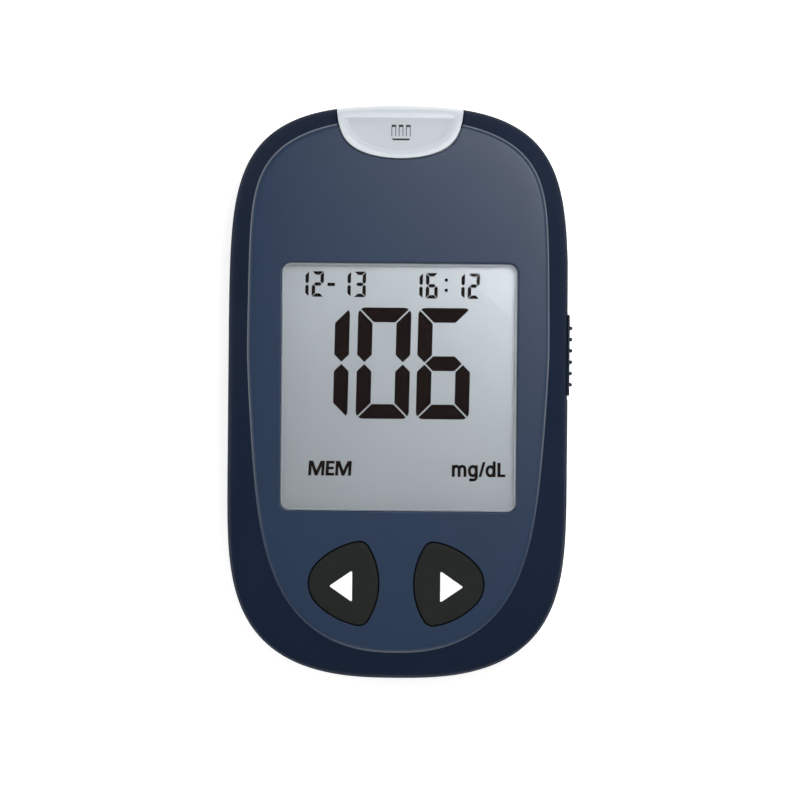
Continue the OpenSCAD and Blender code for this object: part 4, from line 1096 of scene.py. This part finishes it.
def arcPoints(centre, reach, start, end, parts):
    turns = [start + (end - start) % (2 * pi) * part for part in parts]
    return [(centre.x + reach * cos(t), centre.y + reach * sin(t)) for t in turns]


def heading(centre, spot):
    return atan2(spot.y - centre.y, spot.x - centre.x)


def keyOutline(grow, perSide=16, perCorner=10):
    # the left key: a triangle with bulged sides and round corners that points outwards
    y, half = keys["y"], keys["halfLength"]
    inX, outX = -keys["inX"], -keys["outX"]
    corners = [Vector(place) for place in ((outX, y), (inX, y - half), (inX, y + half))]
    sides = []
    for p, q, bulge in zip(corners, corners[1:] + corners[:1], keys["bulges"]):
        chord = q - p
        swing = (chord.length ** 2 / 4 + bulge ** 2) / (2 * bulge)
        out = Vector((chord.y, -chord.x)).normalized()
        sides.append(((p + q) / 2 - out * (swing - bulge), swing))
    rounds = [
        crossing(a, swingA - radius, b, swingB - radius, corner)
        for (a, swingA), (b, swingB), radius, corner in zip(
            sides[-1:] + sides, sides, keys["radii"], corners,
        )
    ]
    points = []
    for i, (centre, swing) in enumerate(sides):
        j = (i + 1) % 3
        start, end = heading(centre, rounds[i]), heading(centre, rounds[j])
        points += arcPoints(centre, swing + grow, start, end, [k / perSide for k in range(perSide + 1)])
        start, end = end, heading(sides[j][0], rounds[j])
        around = [k / perCorner for k in range(1, perCorner)]
        points += arcPoints(rounds[j], keys["radii"][j] + grow, start, end, around)
    return points


def arrowOutline(grow=0.0, perCorner=6):
    # triangle with small round corners, pointing outwards
    places = ((-arrow["tipX"], 0), (-arrow["baseX"], -arrow["half"]), (-arrow["baseX"], arrow["half"]))
    corners = [Vector((x, arrow["y"] + y)) for x, y in places]
    points = []
    for i, corner in enumerate(corners):
        before = (corners[i - 1] - corner).normalized()
        after = (corners[(i + 1) % 3] - corner).normalized()
        half, inwards = before.angle(after) / 2, before + after
        middle = corner + inwards.normalized() * arrow["corner"] / sin(half)
        start = atan2(-inwards.y, -inwards.x) - (pi / 2 - half)
        parts = [k / perCorner for k in range(perCorner + 1)]
        points += arcPoints(middle, arrow["corner"] + grow, start, start + pi - 2 * half, parts)
    return points


def makeKey():
    low, high = keys["flangeZ"]
    edgeZ, rounding, outline = keys["topZ"] - keys["dome"], keys["edgeRounding"], keyOutline(0)
    levels = [(outline, high - 0.1), (outline, edgeZ - rounding)]
    levels += stepsIn(outline, quarterRound(rounding, 6)[1:], edgeZ, -1)
    for part in keys["domeParts"]:
        height = keys["topZ"] - keys["dome"] * (1 - part) ** 2
        levels.append((grown(outline, -rounding - keys["domeWidth"] * part), height))
    key = stack("leftKey", levels)
    stem = keys["stem"]
    join(key, plate("flange", keyOutline(keys["flangeGrow"]), low, high))
    join(key, rod("stem", -stem["x"], keys["y"], stem["radius"], stem["lowZ"], high - 0.2))
    cut(key, plate("arrowPocket", arrowOutline(0.01), arrow["lowZ"], clearZ))
    return key


def makeArrow():
    return plate("leftArrow", arrowOutline(), arrow["lowZ"], arrow["topZ"])


def makeKeys():
    for make, rightName, material, slot, node in (
        (makeKey, "rightKey", "keyBlack", "button_black", "button"),
        (makeArrow, "rightArrow", "printWhite", "arrow_white", "arrow"),
    ):
        left = make()
        for side, piece in (("left", left), ("right", mirrored(left, rightName))):
            finish(piece, material, side + "_key", slot, side + "_" + node)


lens = {"flangeGrow": 0.9, "flangeZ": (17.5, 18.7), "padGap": 0.07, "topZ": 19.25, "edgeRounding": 0.38}
readout = {
    "z": (17.2, 17.23), "leanDegrees": 1.0,
    # cell width, height, stroke, gap between segments, corner radius
    "bigCell": (8.85, 18.5, 2.45, 0.24, 1.25),
    "smallCell": (2.0, 4.25, 0.58, 0.1, 0.28),
    # left edge, bottom edge, digit
    "bigDigits": ((-17.05, -4.5, 1), (-6.85, -4.5, 0), (3.15, -4.5, 6)),
    "smallDigits": (
        (-16.95, 15.7, 1), (-14.45, 15.7, 2), (-9.95, 15.7, 1), (-7.45, 15.7, 3),
        (2.0, 15.56, 1), (4.5, 15.56, 6), (8.98, 15.56, 1), (11.48, 15.56, 2),
    ),
    "dash": ((-11.85, 17.5), (-10.6, 18.05)),
    "colon": ((7.9, 18.65), (7.9, 16.95)), "colonRadius": 0.29,
    "stroke": 0.5,
    "straightLetters": {
        "M": [
            (0, 0), (0, 2.45), (0.7, 2.45), (1.33, 0.9), (1.96, 2.45), (2.66, 2.45), (2.66, 0), (2.15, 0),
            (2.15, 1.55), (1.55, 0), (1.11, 0), (0.51, 1.55), (0.51, 0),
        ],
        "E": [
            (0, 0), (0, 2.45), (1.42, 2.45), (1.42, 1.99), (0.53, 1.99), (0.53, 1.48), (1.32, 1.48),
            (1.32, 1.03), (0.53, 1.03), (0.53, 0.46), (1.46, 0.46), (1.46, 0),
        ],
        "L": [(0, 0), (0, 2.39), (0.53, 2.39), (0.53, 0.46), (1.35, 0.46), (1.35, 0)],
        "/": [(0, 0), (0.46, 0), (1.14, 2.5), (0.68, 2.5)],
    },
    # piece, start of the base line, lean, then each letter and how far along it stands
    "words": (
        ("wordMemory", (-14.8, -13.99), 0.055, (("M", 0), ("E", 2.86), ("M", 4.47))),
        ("wordUnit", (9.11, -14.02), 0.0, (("m", 0), ("g", 2.66), ("/", 4.42), ("d", 5.59), ("L", 7.54))),
    ),
}
# which of the seven segments are lit: top, upper right, lower right, bottom, lower left, upper left, middle
litSegments = {0: 63, 1: 6, 2: 91, 3: 79, 6: 125}


def makeLens():
    low, high = lens["flangeZ"]
    top, rounding = lens["topZ"], lens["edgeRounding"]
    flange = outlineAround(window, lens["flangeGrow"])
    pad = outlineAround(window, -lens["padGap"], window["radius"])
    edgeZ = top - rounding
    levels = [(grown(flange, -0.1), low), (flange, low + 0.1), (flange, high), (pad, high), (pad, edgeZ)]
    levels += stepsIn(pad, quarterRound(rounding, 5)[1:], top, -1)
    piece = finish(stack("displayLens", levels), "lensClear", "meter", "lens_clear", "display_lens")
    # the rounded edge gets the pale finish, which is a painted highlight
    paintFaces(piece, ["lensFrost"], lambda x, y, z, upwards: int(z > edgeZ and upwards < 0.98))


def segmentShapes(width, height, stroke, gap, corner):
    # outlines of the seven segments in a cell, in the order of litSegments
    d = gap * 0.7
    s, w, h = stroke, width, height
    reach = corner - d
    t = ((reach + corner) - sqrt((reach + corner) ** 2 - 2 * reach ** 2)) / 2

    def arc(startTurn, endTurn):
        turns = [startTurn + (endTurn - startTurn) * i / 5 for i in range(6)]
        return [(corner + corner * cos(a), h - corner + corner * sin(a)) for a in turns]

    onTop = atan2(corner - t, t + d - corner)
    onSide = pi - (onTop - pi / 2)
    top = arc(onTop, pi / 2) + [(w - x, y) for x, y in reversed(arc(onTop, pi / 2))]
    top += [(w - s - d, h - s), (s + d, h - s)]
    upperLeft = [(s, h - s - d), *arc(onSide, pi)]
    upperLeft += [(0, h / 2 + s / 2 + d), (s / 2, h / 2 + d), (s, h / 2 + s / 2 + d)]
    middle = [
        (s / 2 + d, h / 2), (s + d, h / 2 + s / 2), (w - s - d, h / 2 + s / 2), (w - s / 2 - d, h / 2),
        (w - s - d, h / 2 - s / 2), (s + d, h / 2 - s / 2),
    ]
    upperRight = [(w - x, y) for x, y in upperLeft]
    bottom, lowerLeft, lowerRight = (
        [(x, h - y) for x, y in part] for part in (top, upperLeft, upperRight)
    )
    return [top, upperRight, lowerRight, bottom, lowerLeft, upperLeft, middle]


def anticlockwise(outline):
    area = sum(x0 * y1 - x1 * y0 for (x0, y0), (x1, y1) in zip(outline, outline[1:] + outline[:1]))
    return outline[::-1] if area < 0 else outline


def makeCell(name, sizes):
    # all seven segments as closed slabs; each face carries the number of its segment
    lean = tan(radians(readout["leanDegrees"]))
    points, faces, numbers = [], [], []
    for number, outline in enumerate(segmentShapes(*sizes)):
        start, count = len(points), len(outline)
        leaned = [(x + (y - sizes[1] / 2) * lean, y) for x, y in anticlockwise(outline)]
        points += atHeight(leaned, 0) + atHeight(leaned, readout["z"][1] - readout["z"][0])
        faces.append([start + i for i in reversed(range(count))])
        faces.append([start + count + i for i in range(count)])
        for i in range(count):
            j = (i + 1) % count
            faces.append([start + i, start + j, start + count + j, start + count + i])
        numbers += [number] * (count + 2)
    cellPiece = meshPiece(name, points, faces)
    cellPiece.data.attributes.new("segment", "INT", "FACE").data.foreach_set("value", numbers)
    return cellPiece


def digitTree():
    # a full figure eight on every point, less the segments that the point's number doesn't light
    tree, given = newTree("digitRow", Points="Geometry", Shape="Object")
    whole = shapeNode(tree, "RealizeInstances", Geometry=copiesOn(tree, given["Points"], given))
    lit, segment = (
        shapeNode(tree, "InputNamedAttribute", "Attribute", Name=name) for name in ("lit", "segment")
    )
    places = calc(tree, "FLOOR", calc(tree, "DIVIDE", lit, calc(tree, "POWER", 2, segment)))
    isDark = calc(tree, "LESS_THAN", calc(tree, "MODULO", places, 2), 0.5)
    shown = addNode(tree, "GeometryNodeDeleteGeometry", Geometry=whole, Selection=isDark)
    shown.domain = "FACE"
    return closeTree(tree, shown.outputs["Geometry"], given)


def makeDigits(name, tree, sizes, digits):
    piece = meshPiece(name, [(x, y, readout["z"][0]) for x, y, _ in digits], [])
    lit = piece.data.attributes.new("lit", "FLOAT", "POINT")
    lit.data.foreach_set("value", [litSegments[digit] for _, _, digit in digits])
    growPiece(piece, tree, "segmentInk", {"Shape": makeCell(name + "Cell", sizes)})
    finish(piece, "segmentInk", "meter", "polariser_silver")


def strokeOutline(path, width):
    # a line of even width along a smooth path
    points = smoothLine(path, 5) if len(path) > 2 else path
    left, right = [], []
    for i, (x, y) in enumerate(points):
        (xa, ya), (xb, yb) = points[max(i - 1, 0)], points[min(i + 1, len(points) - 1)]
        run = Vector((xb - xa, yb - ya)).normalized() * width / 2
        left.append((x - run.y, y + run.x))
        right.append((x + run.y, y - run.x))
    return right + left[::-1]


def arch(x):
    return [(x, 1.25), (x + 0.14, 1.58), (x + 0.45, 1.75), (x + 0.8, 1.64), (x + 0.96, 1.3), (x + 0.97, 0)]


def bowl(x, side):
    turns = [pi * (i / 8 - 0.5) for i in range(-1, 10)]
    return [(x + side * 0.58 * cos(t), 0.97 + 0.77 * sin(t)) for t in turns]


def letterShapes(letter):
    # outlines that overlap to make one letter, in millimetres from the start of its base line
    if letter in readout["straightLetters"]:
        return [readout["straightLetters"][letter]]
    paths = {
        "m": [[(0.22, 0), (0.22, 1.95)], arch(0.22), arch(1.19)],
        "g": [
            bowl(0.8, 1), bowl(0.8, -1), [(1.39, 1.95), (1.39, 0.1)],
            [(1.39, 0.4), (1.38, -0.05), (1.22, -0.38), (0.85, -0.5), (0.22, -0.48)],
        ],
        "d": [bowl(0.8, 1), bowl(0.8, -1), [(1.42, 0), (1.42, 2.6)]],
    }
    return [strokeOutline(path, readout["stroke"]) for path in paths[letter]]


def makeWord(name, start, lean, letters):
    slabs = []
    for letter, offset in letters:
        for outline in map(anticlockwise, letterShapes(letter)):
            placed = [(start[0] + offset + x + y * lean, start[1] + y) for x, y in outline]
            slabs.append(plate(name, placed, *readout["z"]))
    join(*slabs)
    slabs[0].name = name
    finish(slabs[0], "segmentInk", "meter", "polariser_silver")


def makeReadout():
    tree = digitTree()
    for size in ("big", "small"):
        makeDigits(size + "Digits", tree, readout[size + "Cell"], readout[size + "Digits"])
    low, top = readout["z"]
    marks = block("readoutMarks", (*readout["dash"][0], low), (*readout["dash"][1], top))
    join(marks, *[rod("dot", x, y, readout["colonRadius"], low, top, 24) for x, y in readout["colon"]])
    finish(marks, "segmentInk", "meter", "polariser_silver")
    for word in readout["words"]:
        makeWord(*word)


slider = {
    "y": 6.4, "length": 13.6, "z": 9.6, "height": 5.4, "radius": 0.8,
    "backX": 28.38, "plateX": 28.69, "ribX": 29.19,
    "edge": ((0.1, 0), (0.03, 0.035), (0, 0.1)),   # how far below the plate's face, how far in
    "ribs": {"count": 6, "pitch": 1.89, "startY": 1.475, "thickness": 0.63, "height": 4.0, "sunk": 0.15},
    # how far up a rib from its middle, and how far it draws in there
    "ribEnds": ((0.82, 0), (0.9, 0.06), (0.96, 0.16), (1, 0.28)), "ribNarrowing": 0.6,
    "neck": ((24.6, 0.2, 10.1), (28.5, 4.6, 11.6)),
    "pin": {"y": 2.4, "z": 10.85, "radius": 0.45, "x": (23.2, 25.0)},
}


def makeGripRib():
    # one rib at the origin: round along its outer edge, with its two ends rounded off
    ribs = slider["ribs"]
    half, foot = ribs["thickness"] / 2, slider["plateX"] - ribs["sunk"]
    outer = slider["ribX"] - half
    turns = [pi / 2 - pi * i / 8 for i in range(9)]
    rounded = [(outer + half * cos(t), half * sin(t)) for t in turns]
    profile = [(foot, -half), *reversed(rounded), (foot, half)]
    ends = [(-up, inset) for up, inset in reversed(slider["ribEnds"])] + list(slider["ribEnds"])
    levels = []
    for up, inset in ends:
        share = 1 - inset / half * slider["ribNarrowing"]
        ring = [(x - inset * (x > outer - half), y * share) for x, y in profile]
        levels.append((ring, slider["z"] + up * ribs["height"] / 2))
    return facesOut(stack("gripRib", levels))


def makeSlider():
    outline = roundedRectangle(*(slider[size] for size in ("length", "height", "radius", "y", "z")))
    profiles = [(slider["plateX"] - drop, grown(outline, -inset)) for drop, inset in slider["edge"]]
    piece = alongX("ejectorSlider", [(slider["backX"], outline), *profiles])
    pin = slider["pin"]
    join(piece, rowOf("grip", makeGripRib(), "sliderBlue", slider["ribs"]))
    join(piece, block("neck", *slider["neck"]))
    join(piece, barAlongX("pin", circle(pin["y"], pin["z"], pin["radius"], 32), *pin["x"]))
    finish(piece, "sliderBlue", "ejector", "slider_blue", "ejector_slider")


doorFittings = {
    # half width, start and end along Y, low and high; a pad lies beside a coin cell's middle
    "hookFoot": (2.5, 0.6, 1.6, 1.4, 2.6), "hook": (2.5, 0.6, 3.1, 1.75, 2.6), "hookBevel": 0.12,
    "pad": (0.5, -5, 5, 1.4, 2.0), "padX": (-4, 4),
    "grooves": {
        "width": 10, "length": 0.6, "startY": -20.3, "count": 4, "pitch": 1.2,
        # how much larger, corner radius, how deep
        "steps": ((0.2, 0.35, -1.1), (0.2, 0.35, 0), (0, 0.28, 0.1), (-0.2, 0.19, 0.35)),
    },
}
latch = {
    "halfWidth": 4.5, "nearY": -22.2, "farY": -25.6, "lowZ": 0.1, "topZ": 4.4, "thickness": 0.7,
    "corner": 0.3, "bevel": 0.1, "catch": 0.8, "catchZ": (1.72, 1.9, 2.6),
    "tipZ": (0.3, 1.6), "tipGrow": 0.2,
}
screws = {
    "case": {"head": 1.9, "headZ": (1.7, 3.0), "shank": 1.0, "shankTop": 13.8, "cross": 2.4},
    "board": {"head": 1.5, "headZ": (7.7, 8.6), "shank": 0.8, "shankTop": 13.0, "cross": 1.8},
    "boardPlaces": [(0, -42.4), (-23.6, 27)],
    "headEdge": ((0.45, 0), (0.18, 0.08), (0, 0.4)),   # how far in, how far up
    "thread": {"pitch": 0.5, "depth": 0.14, "valley": 0.2, "crest": 0.45, "endLength": 0.8},
    "tip": {"inset": 0.12, "rise": 0.3, "radius": 0.25},
    # depth, share of the arm's length, half width
    "recess": ((-1, 1, 0.27), (0.1, 1, 0.27), (0.6, 0.55, 0.2)),
}


def makeDoor():
    low, high = door["lowZ"], door["highZ"]
    outline = densified(outlineAround(door), 2)
    piece = stack("batteryDoor", [*stepsIn(outline, door["edge"], low), (outline, high)])
    for side in (-1, 1):
        foot, hook = blocksAt(side * backCover["hookX"], 0, doorFittings, "hookFoot", "hook")
        join(piece, foot, bevel(hook, doorFittings["hookBevel"]))
        for offset in doorFittings["padX"]:
            join(piece, *blocksAt(side * cell["x"] + offset, cell["y"], doorFittings, "pad"))
    grooves = doorFittings["grooves"]
    shape = stack("groove", [
        (roundedRectangle(grooves["width"] + grow, grooves["length"] + grow, radius), low + depth)
        for grow, radius, depth in grooves["steps"]
    ])
    cut(piece, rowOf("grooves", shape, "coverBlueDark", grooves))
    finish(piece, "coverBlueDark", "door", "cover_blue_dark", "battery_door")


def makeLatch():
    # springy tongue: up from the door, over, and down again to a catch behind the cover's edge
    near, far, low, top = (latch[size] for size in ("nearY", "farY", "lowZ", "topZ"))
    t, corner, out = latch["thickness"], latch["corner"], far - latch["catch"]
    catchLow, catchHigh, catchTop = latch["catchZ"]
    tipLow, tipTop = latch["tipZ"]
    profile = [
        (near, low), (near, top - corner), (near - corner, top), (far + corner, top), (far, top - corner),
        (far, catchTop), (out, catchHigh), (out, catchLow), (far, catchLow), (far, tipLow),
        (far + t + latch["tipGrow"], tipLow), (far + t, tipTop), (far + t, top - t), (near - t, top - t),
        (near - t, low),
    ]
    tongue = barAlongX("batteryLatch", profile, -latch["halfWidth"], latch["halfWidth"])
    finish(bevel(tongue, latch["bevel"]), "coverBlueDark", "door", "cover_blue_dark", "battery_latch")


def makeCells():
    # coin cells: a rolled can with a smaller lid towards the door's far side
    radius, low, high = cell["radius"], cell["lowZ"], cell["highZ"]
    profile = [(radius - inset, low + rise) for inset, rise in cell["can"]]
    profile += [(radius - inset, high - drop) for inset, drop in cell["lid"]]
    for word, side in (("left", -1), ("right", 1)):
        piece = turned(word + "Cell", side * cell["x"], cell["y"], profile, cell["sides"])
        finish(piece, "cellSteel", "meter", "cell_steel", word + "_cell")


def makeScrew(sizes):
    # pan head with a cross recess, standing head down at the origin
    (low, high), head, shank, top = sizes["headZ"], sizes["head"], sizes["shank"], sizes["shankTop"]
    profile = [(head - inset, low + rise) for inset, rise in screws["headEdge"]]
    profile += [(head, high), (shank, high)]
    thread, tip = screws["thread"], screws["tip"]
    z = high
    while z + thread["pitch"] < top - thread["endLength"]:
        profile += [(shank - thread["depth"], z + thread["valley"]), (shank, z + thread["crest"])]
        z += thread["pitch"]
    profile += [(shank - tip["inset"], z + tip["rise"]), (tip["radius"], top)]
    screw = turned("screw", 0, 0, profile, 32)
    arms = []
    for isAcross in (True, False):
        levels = []
        for depth, share, width in screws["recess"]:
            x, y = (sizes["cross"] / 2 * share, width)[::1 if isAcross else -1]
            levels.append(([(-x, -y), (x, -y), (x, y), (-x, y)], low + depth))
        arms.append(stack("crossArm", levels))
    cut(screw, *arms)
    screw.data.shade_smooth()
    return screw


def makeScrews():
    tree = pointsTree()
    for kind, places in (("case", screwPlaces), ("board", screws["boardPlaces"])):
        piece = meshPiece(kind + "Screws", atHeight(places, 0), [])
        growPiece(piece, tree, "platedSteel", {"Shape": makeScrew(screws[kind])})
        finish(piece, "platedSteel", "meter", "plated_steel", kind + "_screws")


def makeLabel():
    outline, low, high = outlineAround(label), label["lowZ"], label["highZ"]
    piece = stack("backLabel", [*stepsIn(outline, label["edge"], low), (outline, high)])
    finish(piece, "labelSilver", "meter", "label_silver", "back_label")


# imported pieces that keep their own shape, by the finish that they get
insideFinishes = {
    "tapeBlack": ["lens_tape"],
    "foamBlack": ["dust_gasket"],
    "polariserSilver": ["lcd_front_polariser"],
    "displayGlass": ["lcd_front_glass", "lcd_rear_glass"],
    "reflectorFilm": ["lcd_reflector"],
    "frameWhite": ["lcd_frame", "left_plunger", "right_plunger", "ejector_arm"],
    "zebraRubber": ["zebra_connector"],
    "boardGreen": ["main_board"],
    "chipBlack": ["microcontroller", "memory_chip", "analog_chip", "buzzer"],
    "switchBlack": ["left_switch", "right_switch", "data_jack"],
    "platedSteel": ["watch_crystal", "left_dome", "right_dome", "left_switch_cover", "right_switch_cover",
                    "ejector_spring", "negative_contacts"],
    "componentTan": ["small_components"],
    "ivoryPlastic": ["strip_connector"],
    "goldPlate": ["strip_contacts", "jack_contacts", "positive_contacts"],
}


def paintInside():
    for finishName, names in insideFinishes.items():
        for name in names:
            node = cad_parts[name]
            node.data.materials.clear()
            node.data.materials.append(materials[finishName])
    print("inside pieces painted:", sum(len(names) for names in insideFinishes.values()))


materials = makeMaterials()
placeCamera()
for lampName, lampValues in lamps.items():
    hangLamp(lampName, *lampValues)
makeSky()
bpy.context.scene.view_settings.view_transform = "Standard"
layFloor()
print("studio ready")

for make in (
    makeFrontCover, makeBackCover, makeStripCap, makeKeys, makeLens, makeReadout, makeSlider, makeDoor,
    makeLatch, makeCells, makeScrews, makeLabel, paintInside,
):
    make()
